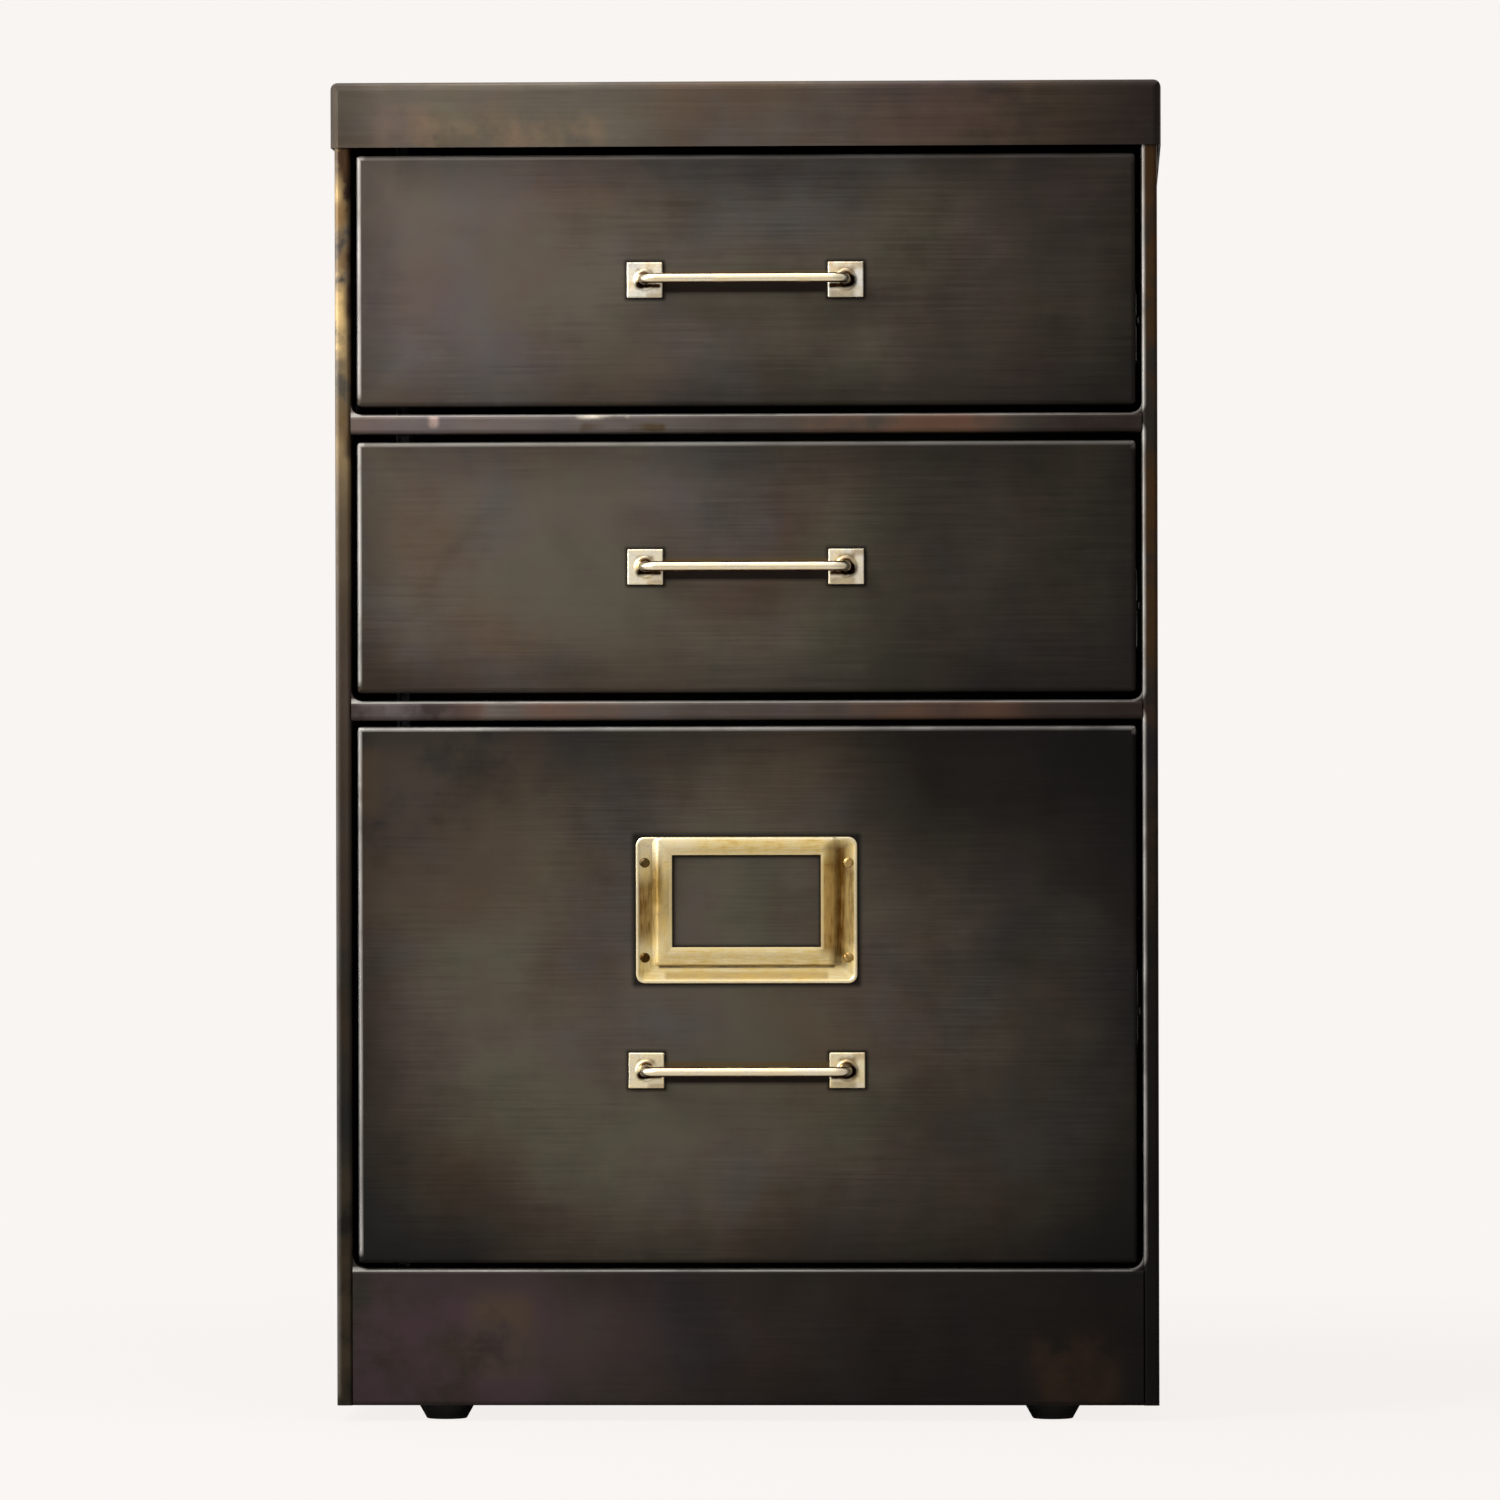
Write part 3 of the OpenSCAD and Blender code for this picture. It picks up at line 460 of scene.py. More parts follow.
# %% Finishes of the drawer fronts
# Where each front is painted lightest, and how fast it darkens from there: painted light falloff.
LIT_SPOT = {"upper": (-0.9, 0.4), "centre": (-0.6, 0.1), "file": (-0.12, 0.02)}
FALL = {"upper": (0.42, 0.18), "centre": (0.44, 0.24), "file": (0.70, 0.66)}
CURVE = {"upper": 1.5, "centre": 1.25, "file": 2.0}
# How strongly each front's left and top edges are rubbed bare and painted with highlights.
WEAR_AND_HIGHLIGHT = {"upper": (0.75, 0.12), "centre": (0.9, 0.34), "file": (0.9, 0.6)}
finishes = {}
for number, drawer in enumerate(DRAWERS):
    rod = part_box(f"pull_bar_{drawer}")
    rod_z = (rod[0].z + rod[1].z) / 2 / MM
    # Painted shadow round the plates and along the rod, under and over it.
    painted_shade = [
        (WAX_AND_SHADE, {"x": 50.8, "z": rod_z, "half_x": 9, "half_z": 9, "reach": 2.5, "strength": 0.85}),
        blot("#150e08", 0, rod_z - 3.6, 42, 1.2, 3.4, 1.2),
        blot("#54452a", 0, rod_z + 2.8, 42, 0.3, 2.4, 0.9),
    ]
    rust = [blot("#483428", -60, rod_z - 50, 20, 4, 34, 0.25)]
    if drawer == "file":
        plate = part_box("label_holder")
        plate_z = (plate[0].z + plate[1].z) / 2 / MM
        outline = {"x": 0, "outline": True, "strength": 0.9}
        # Painted shadow round the card frame and inside its window, and painted shade at the top-right and
        # bottom-right corners.
        painted_shade += [
            (WAX_AND_SHADE, outline | {"z": plate_z, "half_x": 56, "half_z": 37, "reach": 3.5}),
            (WAX_AND_SHADE, outline | {"z": plate_z + 4.6, "half_x": 38, "half_z": 23.6, "reach": 2.6}),
            blot(WAX_AND_SHADE, 150, 338, 55, 14, 85, 0.78),
            blot(WAX_AND_SHADE, 200, 80, 10, 6, 70, 0.6),
        ]
        rust = [blot("#40301f", -192, 318, 1, 16, 12, 0.6), blot("#443a2e", -150, 300, 26, 30, 40, 0.5)]
    finishes[f"front_{drawer}"] = patina(
        f"blackened_steel_front_{drawer}", UMBER, 1.0 + number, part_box(f"front_shell_{drawer}"),
        LIT_SPOT[drawer], FALL[drawer], CURVE[drawer], wear_and_highlight=WEAR_AND_HIGHLIGHT[drawer], residue_and_shade=painted_shade, washes_and_painted_light=rust,
    )
print(len(finishes), "finishes for the drawer fronts")


# %% [markdown]
# The frame round the drawers is rubbed bright along the lower and right-hand edge of each opening,
# where hands and drawers pass; these edges face up and to the left, towards the lamps, so the bright
# outlines are also painted highlights. The openings' outlines come from the parts round them. A web
# rounds each lower corner, and the box of the part below includes it.

# %% Outlines of the openings
PLINTH_CORNER, RAIL_CORNER = 7, 5
frame_low, frame_high = (corner.copy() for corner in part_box("plinth"))
frame_high.z -= PLINTH_CORNER * MM
lip_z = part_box("top_cap")[0].z
sills = {"file": (frame_high.z / MM, PLINTH_CORNER)}
heads = {"upper": lip_z / MM}
for rail, above, below in (("lower", "centre", "file"), ("upper", "upper", "centre")):
    low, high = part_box(f"divider_rail_{rail}")
    sills[above] = (high.z / MM - RAIL_CORNER, RAIL_CORNER)
    heads[below] = low.z / MM
OPEN_HALF = frame_high.x / MM
PAST_LEFT = 30  # the outline runs on past the left edge, which gets neither rubbing nor painted highlight
rubbed_and_highlit_rims = {}
for drawer in DRAWERS:
    sill, radius = sills[drawer]
    top = heads[drawer] + radius
    rubbed_and_highlit_rims[drawer] = {
        "x": -PAST_LEFT / 2, "z": (sill + top) / 2, "half_x": OPEN_HALF + PAST_LEFT / 2,
        "half_z": (top - sill) / 2, "corner": radius, "reach": 1.7, "outline": True, "mirror": False,
    }
print("openings end", {drawer: round(heads[drawer]) for drawer in DRAWERS}, "mm up")

# %% [markdown]
# The cap is painted the lightest sheet, as painted light, and lighter towards the left, with rust
# along its lip, a dark right end and painted shade at its left end. The plinth is painted the darkest,
# as painted shade, with plum and bronze clouds and the rubbed sill of the file drawer, which is also a
# painted highlight.

# %% Finishes of the cap and the plinth
lid_z = lip_z / MM
finishes["cap"] = patina(
    "blackened_steel_cap", LID, 5.0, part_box("top_cap"), (-0.6, 0), (0.5, 0), wear_and_highlight=(0, 0), halo=0.1,
    washes_and_painted_light=[
        blot("#80684c", -120, lid_z + 5, 40, 2, 14, 0.4),
        blot("#6a5448", -172, lid_z + 10, 8, 3, 14, 0.35),
        blot("#5a4034", 110, lid_z + 12, 20, 8, 50, 0.2),
        blot("#1c1413", 205, lid_z + 20, 10, 12, 50, 0.55),
    ],
    # A darker band at the cap's left end: painted shade.
    residue_and_shade=[blot(WAX_AND_SHADE, -209, lid_z + 22, 1.5, 14, 30, 0.32)],
)
SPREAD = Vector((20 * MM, 0, 0))  # welded ends have no edge of their own to wear
finishes["plinth"] = patina(
    "blackened_steel_plinth", DEEP, 6.0, (frame_low - SPREAD, frame_high + SPREAD), (-0.5, 0), (0.68, 0.1),
    wear_and_highlight=(0, 0), rubbed_and_highlit_rims=[rubbed_and_highlit_rims["file"] | {"strength": 0.85}], halo=0.2,
    washes_and_painted_light=[
        blot("#43313a", -150, 38, 36, 14, 40, 0.6),
        blot("#4a3f2c", -124, 44, 8, 12, 16, 0.6),
        blot("#38261a", 165, 26, 14, 10, 16, 0.5),
    ],
)
print(f"cap's lip {lid_z:.1f} mm up, plinth {(frame_high.z - frame_low.z) / MM:.1f} mm high")

# %% [markdown]
# The left stile stands in the light: its patina has worn through to straw-coloured steel near the
# top, with browner places in it, painted shade along its inner edge and under the cap, and a painted
# highlight near its outer edge. The right one is in shade: its darker tones are painted shade, it is
# browned, and the openings' edges on it carry painted highlights. Each stile is the folded front edge
# of a side panel, so one finish does both, and the box of the finish stops at the stile's inner edge.

# %% Finishes of the side panels
# Dark strips along the inner edge and under the cap are painted shade, the pale line near the outer edge is a
# painted highlight, and the other blots are brown tones.
STILE_SHADE_AND_WASHES = [
    blot("#1f130c", -200.2, 606, 0.6, 44, 6, 1.4),
    blot("#3a2c22", -200.2, 540, 0.4, 50, 5, 0.9),
    blot("#33210f", -205, 647, 8, 6, 24, 1.2),
    blot("#5f4220", -207, 600, 1, 14, 7, 0.8),
    blot("#4a3418", -206, 512, 2, 6, 14, 0.9),
    blot("#c9ab72", -206.4, 560, 0.8, 20, 5, 0.8),
    blot("#33271c", -204, 330, 6, 120, 60, 0.6),
    blot("#352c1f", -204, 50, 6, 60, 40, 0.9),
]
SIDES = {
    "left": {
        "tones": UMBER, "seed": 7.0, "wear_and_highlight": (0.12, 0), "straw": (0.40, 0.62, "#ab9060", 0.0),
        "washes_and_painted_light": STILE_SHADE_AND_WASHES,
    },
    "right": {
        # The right side's dark SHADE tones are painted shade.
        "tones": SHADE, "seed": 8.0, "wear_and_highlight": (0, 0), "straw": (0.20, 0.45, "#3c270d", 0.6),
        # Painted highlights along the openings' edges on the right stile, with the rubbing.
        "rubbed_and_highlit_rims": [rubbed_and_highlit_rims[drawer] | {"reach": 2.8, "strength": 0.65} for drawer in DRAWERS],
    },
}
for side, look in SIDES.items():
    low, high = (corner.copy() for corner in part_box(f"side_panel_{side}"))
    if side == "left":
        high.x = frame_low.x
    else:
        low.x = frame_high.x
    finishes[f"side_{side}"] = patina(
        f"blackened_steel_side_{side}", box=(low, high), lit_spot=(0, 0.6), fall=(0, 0.7), grain="Z", halo=0.0,
        **look,
    )
print(f"stiles {(high.x - low.x) / MM:.1f} mm wide")

# %% [markdown]
# The divider rails are the most handled sheets: rubbed along the sill, with a painted highlight along
# the upper rail's top edge, rusty where the wax has gone, and dark at the right end. The back is plain.

# %% Finishes of the divider rails and the back
RUST_AND_PAINTED_LIGHT = {
    "upper": [
        blot("#43341f", -62, 502.6, 20, 0.4, 3.2, 1.3),
        blot("#b59c90", -158, 506, 0.6, 1, 3.4, 1.0),
        # A painted highlight along the top edge.
        blot("#d8cdbb", -74, 508.4, 14, 0.3, 2.2, 0.8),
        blot("#664634", 80, 504, 36, 3, 24, 0.6),
        blot("#211915", 190, 504, 20, 6, 50, 0.75),
    ],
    "lower": [
        blot("#5f4438", -110, 359, 34, 3, 26, 0.65),
        blot("#332b28", -185, 359, 24, 4, 40, 0.95),
        blot("#573d2c", 96, 359, 30, 3, 30, 0.65),
        blot("#241912", 190, 359, 20, 6, 50, 0.7),
    ],
}
for number, (rail, above) in enumerate((("upper", "upper"), ("lower", "centre"))):
    low, high = (corner.copy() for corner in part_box(f"divider_rail_{rail}"))
    high.z -= RAIL_CORNER * MM
    box = (low - SPREAD, high + SPREAD)
    finishes[f"rail_{rail}"] = patina(
        f"blackened_steel_rail_{rail}", RAIL, 9.0 + number, box, (-0.6, 0), (0.6, 0), halo=0.0, wear_and_highlight=(0, 0),
        rubbed_and_highlit_rims=[rubbed_and_highlit_rims[above] | {"strength": 0.85}], washes_and_painted_light=RUST_AND_PAINTED_LIGHT[rail],
    )
finishes["back"] = patina(
    "blackened_steel_back", UMBER, 11.0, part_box("back_panel"), (0, 0), (0.5, 0.5), wear_and_highlight=(0, 0.1)
)
print(len(finishes), "sheet finishes")

# %% [markdown]
# ## Oiled steel inside
# Nobody sees the drawer bodies until a drawer is open. They are the same sheet, blackened and
# oiled but never rubbed bright, so one darker, smoother finish with faint rolling lines does.

# %% Oiled steel
ROLL_LENGTH, ROLL_SPACING = 140 * MM, 2.5 * MM
oiled = bpy.data.materials.new("oiled_black_steel")
tree = blank_tree(oiled)
place = add(tree, "TexCoord", out="Object")
rolling = (1 / ROLL_SPACING, 1 / ROLL_LENGTH, 1 / ROLL_SPACING)
rolled = add(tree, "Mapping", {"Vector": place, "Scale": rolling})
lines = add(tree, "TexNoise", {"Vector": rolled, "Scale": 1.0, "Detail": 2.0})
film = add(tree, "TexNoise", {"Vector": place, "Scale": 1 / CLOUD, "Detail": 5.0})
tone = add(tree, "Math", {0: lines, 1: 0.3, 2: film}, operation="MULTIPLY_ADD")
colour = add(tree, "ValToRGB", {"Fac": tone}, stops=[(0.5, "#1c1a18"), (0.8, "#37322d")])
rough = add(tree, "MapRange", {"Value": film, "To Min": 0.36, "To Max": 0.56})
shader = add(tree, "BsdfPrincipled", {"Base Color": colour, "Metallic": 0.8, "Roughness": rough})
add(tree, "OutputMaterial", {"Surface": shader})
print(f"rolling lines {ROLL_SPACING / MM:.1f} mm apart")

# %% [markdown]
# ## Zinc plate and ball steel
# The slides are cold-rolled strip with a bright zinc plate: blue-white, drawn into fine lines
# along the slide, with a faint yellow haze of passivation. The balls are ground and polished.

# %% Zinc plate and polished balls
DRAW_LENGTH, DRAW_SPACING = 90 * MM, 0.8 * MM
HAZE = 30 * MM
HAZE_TONES = [(0.35, "#b2b5b7"), (0.5, "#bbbebf"), (0.7, "#c1bfb3")]
SLIDE_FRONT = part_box("slide_outer_upper")[0].y
# The front ends of the fixed slides are painted black: painted shade in the gaps round the drawers.
PAINTED_SHADE_FULL, PAINTED_SHADE_GONE = 14 * MM, 34 * MM


def zinc_plate(name, blackened=False):
    """Bright zinc plate. The fixed members are painted black at their front ends, as painted shade in the gaps
    round the drawer fronts.
    """
    plate = bpy.data.materials.new(name)
    tree = blank_tree(plate)
    place = add(tree, "TexCoord", out="Object")
    drawing = (1 / DRAW_SPACING, 1 / DRAW_LENGTH, 1 / DRAW_SPACING)
    drawn = add(tree, "Mapping", {"Vector": place, "Scale": drawing})
    lines = add(tree, "TexNoise", {"Vector": drawn, "Scale": 1.0, "Detail": 2.0})
    haze = add(tree, "TexNoise", {"Vector": place, "Scale": 1 / HAZE, "Detail": 4.0})
    colour = add(tree, "ValToRGB", {"Fac": haze}, stops=HAZE_TONES)
    if blackened:
        along = add(tree, "SeparateXYZ", {0: place}).node.outputs[1]
        black = {"Value": along, "From Min": SLIDE_FRONT + PAINTED_SHADE_GONE, "From Max": SLIDE_FRONT + PAINTED_SHADE_FULL}
        black = add(tree, "MapRange", black)
        colour = add(tree, "Mix", {0: black, 6: colour, 7: linear("#0c0b0a")}, 2, data_type="RGBA")
    rough = add(tree, "MapRange", {"Value": lines, "To Min": 0.26, "To Max": 0.46})
    bump = add(tree, "Bump", {"Height": lines, "Strength": 0.1, "Distance": 0.02 * MM})
    surface = {"Base Color": colour, "Metallic": 1.0, "Roughness": rough, "Normal": bump}
    add(tree, "OutputMaterial", {"Surface": add(tree, "BsdfPrincipled", surface)})
    return plate


zinc = zinc_plate("bright_zinc_plate")
zinc_with_shaded_ends = zinc_plate("zinc_plate_with_painted_shade_ends", blackened=True)

balls = bpy.data.materials.new("polished_ball_steel")
tree = blank_tree(balls)
place = add(tree, "TexCoord", out="Object")
smear = add(tree, "TexNoise", {"Vector": place, "Scale": 1 / HAZE, "Detail": 3.0})
colour = add(tree, "ValToRGB", {"Fac": smear}, stops=[(0.4, "#b9bcbe"), (0.6, "#d3d4d4")])
rough = add(tree, "MapRange", {"Value": smear, "To Min": 0.10, "To Max": 0.30})
shader = add(tree, "BsdfPrincipled", {"Base Color": colour, "Metallic": 1.0, "Roughness": rough})
add(tree, "OutputMaterial", {"Surface": shader})
print("inside finishes ready")

# %% [markdown]
# ## Aged brass
# Cast and pressed brass that was polished, left to brown, and rubbed bright again by hands. The
# brown stays in hollows and in streaks down the card frame, and the pale metal shows on what stands
# proud; the dark marks round the posts are painted shadow as well as brown. One function makes the
# four kinds, each with its own brown.

# %% Aged brass
PIT = 1.4 * MM
STAIN = 11 * MM
STRIP_LENGTH, STRIP_SPACING = 45 * MM, 4 * MM
STRIP_SHARE = 0.45
SMOOTHEST, ROUGHEST = 0.22, 0.42


def strip_noise(tree, place, here, strips):
    """Noise drawn out along the four strips of a frame. strips is how much wider than high the
    frame is, halved, and the height of its centre."""
    long, short = 1 / STRIP_LENGTH, 1 / STRIP_SPACING
    along_x, along_z = (
        add(tree, "TexNoise", {"Vector": add(tree, "Mapping", {"Vector": here, "Scale": scale}), "Detail": 1.5})
        for scale in ((long, short, short), (short, short, long))
    )
    wider, centre = strips
    centred = add(tree, "Mapping", {"Vector": place, "Location": (0, 0, -centre)})
    parts = add(tree, "SeparateXYZ", {0: add(tree, "VectorMath", {0: centred}, operation="ABSOLUTE")})
    across = add(tree, "Math", {0: parts.node.outputs[0], 1: parts.node.outputs[2]}, operation="SUBTRACT")
    upright = {"Value": across, "From Min": wider - 1 * MM, "From Max": wider + 1 * MM}
    return add(tree, "Mix", {0: add(tree, "MapRange", upright), 2: along_x, 3: along_z})


def aged_brass(name, pale, gold, brown, seed, pits=0.0, stains=(), strips=None):
    """Unlacquered brass. pits is how much of it is pitted as cast. stains are colours with their
    places, as given to beside. strips, as given to strip_noise, draws the tones out along the
    strips of a frame."""
    brass = bpy.data.materials.new(name)
    tree = blank_tree(brass)
    place = add(tree, "TexCoord", out="Object")
    here = add(tree, "Mapping", {"Vector": place, "Location": (seed, seed * 0.6, seed * 0.3)})
    stain = add(tree, "TexNoise", {"Vector": here, "Scale": 1 / STAIN, "Detail": 4.0, "Roughness": 0.6})
    if strips:
        stain = add(tree, "Mix", {0: STRIP_SHARE, 2: stain, 3: strip_noise(tree, place, here, strips)})
    grit = add(tree, "TexNoise", {"Vector": here, "Scale": 1 / PIT, "Detail": 3.0})
    colour = add(tree, "ValToRGB", {"Fac": stain}, stops=[(0.26, brown), (0.44, gold), (0.64, pale)])
    if pits:
        pitted = add(tree, "MapRange", {"Value": grit, "From Min": 0.56, "From Max": 0.64, "To Max": pits})
        colour = add(tree, "Mix", {0: pitted, 6: colour, 7: linear(brown)}, 2, data_type="RGBA")
    uneven = add(tree, "MapRange", {"Value": stain, "From Min": 0.35, "From Max": 0.6, "To Min": 0.55})
    for dark, spot in stains:
        mark = add(tree, "Math", {0: beside(tree, place, **spot), 1: uneven}, operation="MULTIPLY")
        colour = add(tree, "Mix", {0: mark, 6: colour, 7: linear(dark)}, 2, data_type="RGBA")
    dulled = {"Value": stain, "From Min": 0.3, "From Max": 0.7, "To Min": ROUGHEST, "To Max": SMOOTHEST}
    rough = add(tree, "MapRange", dulled)
    bump = add(tree, "Bump", {"Height": grit, "Strength": 0.1 + 0.5 * pits, "Distance": 0.1 * MM})
    surface = {"Base Color": colour, "Metallic": 1.0, "Roughness": rough, "Normal": bump}
    add(tree, "OutputMaterial", {"Surface": add(tree, "BsdfPrincipled", surface)})
    return brass


# %% [markdown]
# The card frame is browned in its channels, with painted highlights along its two rims and at its
# top-left corner, and painted shadow in the step above its lower flange and along its right flank.
# Its screws were left alone and are the brownest brass of all, the top-left one painted nearly black,
# partly as shadow.

# %% Brass of the card frame and its screws
low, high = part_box("label_holder")
plate_z = (low.z + high.z) / 2 / MM
stains_and_painted_light = [
    blot("#86642a", -51.6, plate_z, 1.6, 10, 11, 1.0),
    blot("#6a5020", -45.6, plate_z + 17, 0.8, 12, 4, 1.0),
    blot("#9a7c40", -41.5, plate_z + 6, 1.5, 6, 12, 0.6),
    blot("#8f6f36", 51.5, plate_z + 2, 2.0, 16, 10, 0.9),
    blot("#96702f", 41.6, plate_z + 2, 1.6, 20, 7, 1.0),
    # Brown along the foot of the right flank, partly painted shade of the flank that faces away from the light.
    blot("#6a4716", 47.4, plate_z + 4, 0.8, 26, 2.8, 1.1),
    blot("#6a4a1e", 46, plate_z + 27, 3, 4, 6, 0.9),
    blot("#b8964f", 0, plate_z - 33, 40, 0.6, 2.4, 0.7),
    # A painted highlight on the top-left corner.
    blot("#f3e6c0", -44, plate_z + 34, 10, 1, 14, 0.9),
    blot("#5c4218", 47, plate_z - 24, 1.5, 2, 5, 0.9),
    # Painted shadow in the step above the lower flange.
    blot("#3a2611", 0, plate_z - 28.6, 44, 0.2, 1.0, 0.9),
]
# Painted highlights along the outer rim and along the window's edge.
highlit_rim = {"x": 0, "half_z": 36.2, "reach": 1.3, "strength": 0.85, "outline": True, "mirror": False}
stains_and_painted_light += [
    ("#fff3cf", highlit_rim | {"z": plate_z, "half_x": 55.2, "corner": 4}),
    ("#f6e5b2", highlit_rim | {"z": plate_z + 4.6, "half_x": 38.4, "half_z": 24, "corner": 0.5, "strength": 0.6}),
]
frame_brass = aged_brass(
    "pressed_aged_brass", "#f8e6b4", "#e4c983", "#b8934c", 0.7, stains=stains_and_painted_light,
    strips=((high.x - low.x) / 2 - (high.z - low.z) / 2, (low.z + high.z) / 2),
)
# The left two screws are painted dark, the top one nearly black, partly as painted shadow in its slot.
screw_stains_and_shade = [
    blot("#4a3214", -51.4, plate_z - 24, 3, 3, 2, 1.0),
    blot("#160d06", -51.4, plate_z + 24, 3, 3, 2, 1.0),
]
screw_brass = aged_brass(
    "browned_brass_screws", "#d8bd84", "#b08f52", "#5a4120", 0.2, stains=screw_stains_and_shade
)
print(len(stains_and_painted_light), "worn or browned places on the card frame,", len(screw_stains_and_shade), "on its screws")

# %% [markdown]
# A brown line along the top and the underside of each rod is painted shade on its curve. Round the
# posts the plates carry painted shadow of the rod's ends and of the rod, in a dark ring that is
# partly brown patina, with paler brown spots farther out.

# %% Brass of the pulls
PLATES = {
    "upper": ("#fffdf2", "#fdf4dc", "#d4bb8c"),
    "centre": ("#fffbec", "#fff3d2", "#d4b680"),
    "file": ("#fff8e0", "#fff0c4", "#cdab70"),
}
post_brass, bar_brass = {}, {}
for drawer in DRAWERS:
    low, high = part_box(f"pull_bar_{drawer}")
    height = (low.z + high.z) / 2 / MM
    # Brown lines along the rod's top and underside: painted shade.
    lines = [blot("#5c3a14", 0, edge / MM, 60, 0.3, 0.75, 1.5) for edge in (low.z, high.z)]
    bar_brass[drawer] = aged_brass(
        f"rubbed_drawn_brass_{drawer}", "#fff6dc", "#fbecc8", "#efd9aa", 0.3 + height / 1000, stains=lines
    )
    rings = [
        # Painted shadow round the rod's ends and under the rod on the plates.
        blot("#170b05", 51.8, height - 0.8, 1.0, 0.6, 5.2, 2.2),
        blot("#20120a", -53.0, height - 2.4, 0.6, 0.2, 3.2, 2.0),
        blot("#3a2410", -47, height - 3.0, 3.4, 0.1, 1.6, 1.5),
        blot("#2c1a0c", 47, height - 3.0, 3.4, 0.2, 2.0, 1.6),
        blot("#8a6e42", -50.8, height + 4.0, 3, 0.4, 2.4, 0.8),
        blot("#8a6e42", 51, height + 4.6, 3, 0.6, 2.6, 0.9),
        blot("#9c8456", 49, height - 7.2, 5, 0.5, 2.6, 0.7),
        blot("#a98a58", 57, height + 7.4, 2, 0.6, 2.6, 0.6),
        blot("#a98a58", -46, height - 8.0, 3, 0.3, 2.0, 0.6),
    ]
    post_brass[drawer] = aged_brass(
        f"cast_aged_brass_{drawer}", *PLATES[drawer], 0.9 + height / 1000, pits=0.2, stains=rings
    )

# %% [markdown]
# ## Rubber feet
# Moulded black rubber, tapered, matt, with the fine texture of the mould and some dust low down.

# %% Rubber
rubber = bpy.data.materials.new("moulded_black_rubber")
tree = blank_tree(rubber)
place = add(tree, "TexCoord", out="Object")
grain = add(tree, "TexNoise", {"Vector": place, "Scale": 1 / (0.9 * MM), "Detail": 2.0})
height = add(tree, "SeparateXYZ", {0: place}).node.outputs[2]
dust = add(tree, "MapRange", {"Value": height, "From Min": 2.5 * MM, "From Max": 0.0, "To Max": 0.25})
colour = add(tree, "Mix", {0: dust, 6: linear("#121212"), 7: linear("#4a4642")}, 2, data_type="RGBA")
rough = add(tree, "MapRange", {"Value": grain, "To Min": 0.55, "To Max": 0.85})
bump = add(tree, "Bump", {"Height": grain, "Strength": 0.3, "Distance": 0.1 * MM})
shader = add(tree, "BsdfPrincipled", {"Base Color": colour, "Roughness": rough, "Normal": bump})
add(tree, "OutputMaterial", {"Surface": shader})
print("rubber ready for the feet")

# %% [markdown]
# ## Which part takes which finish
# The engineering parts keep their shapes, and only their materials change.

# %% Finishes on the engineering parts
wears = {
    "top_cap": finishes["cap"],
    "plinth": finishes["plinth"],
    "back_panel": finishes["back"],
    "header_rail": oiled,
    "base_pan": oiled,
    "foot_screws": zinc,
    "slide_screws": zinc,
    "back_panel_screws": zinc,
    "label_holder": frame_brass,
    "label_screws": screw_brass,
}
for side in ("left", "right"):
    wears[f"side_panel_{side}"] = finishes[f"side_{side}"]
    wears[f"hang_rail_{side}"] = zinc
    for end in ("front", "rear"):
        wears[f"upright_{end}_{side}"] = zinc_with_shaded_ends
        wears[f"foot_{end}_{side}"] = rubber
for rail in ("upper", "lower"):
    wears[f"divider_rail_{rail}"] = finishes[f"rail_{rail}"]
for drawer in DRAWERS:
    wears[f"front_shell_{drawer}"] = finishes[f"front_{drawer}"]
    wears[f"pull_posts_{drawer}"] = post_brass[drawer]
    wears[f"pull_bar_{drawer}"] = bar_brass[drawer]
    wears.update({f"{part}_{drawer}": oiled for part in ("front_liner", "drawer_body", "drawer_back")})
    wears.update({f"{part}_{drawer}": zinc for part in ("slide_intermediate", "slide_inner")})
    wears[f"slide_outer_{drawer}"] = zinc_with_shaded_ends
    wears.update({f"{part}_{drawer}": balls for part in ("cage_outer", "cage_inner")})
    wears[f"pull_screws_{drawer}"] = zinc
for name, finish in wears.items():
    nodes[name].data.materials.clear()
    nodes[name].data.materials.append(finish)
print(len(wears), "of", len(nodes), "nodes have a finish; left out:", sorted(set(nodes) - set(wears)))

# %% [markdown]
# ## The card frame
# The frame on the file drawer is pressed from brass strip in two layers: a flange with a rolled
# rim, and over it a raised channel that holds the card behind its window. Both are rings, so a
# list of rounded rectangles, each joined to the next and the last to the first, describes each
# one, and a longer list gives a rounder fold.


# %% Rings of rounded rectangles
def rounded_rectangle(left, right, bottom, top, radius, y, steps=6):
    """Points round a rectangle with round corners, in the upright plane at y."""
    points = []
    spots = ((right, top, 0), (left, top, 90), (left, bottom, 180), (right, bottom, 270))
    for x, z, start in spots:
        centre_x = x - math.copysign(radius, x - (left + right) / 2)
        centre_z = z - math.copysign(radius, z - (bottom + top) / 2)
        for step in range(steps + 1):
            angle = math.radians(start + 90 * step / steps)
            points.append((centre_x + radius * math.cos(angle), y, centre_z + radius * math.sin(angle)))
    return points


def bridge(bm, one, other):
    """Faces between two closed rings of points."""
    for i in range(len(one)):
        j = (i + 1) % len(one)
        bm.faces.new((one[i], one[j], other[j], other[i]))


def ring_of(bm, loops):
    """Joins each loop of points to the next, and the last to the first."""
    rings = [[bm.verts.new(point) for point in loop] for loop in loops]
    for one, other in zip(rings, rings[1:] + rings[:1]):
        bridge(bm, one, other)


def object_from(bm, name):
    """The bmesh as a new object, and the bmesh freed."""
    mesh = bpy.data.meshes.new(name)
    bm.to_mesh(mesh)
    bm.free()
    return placed(name, mesh)


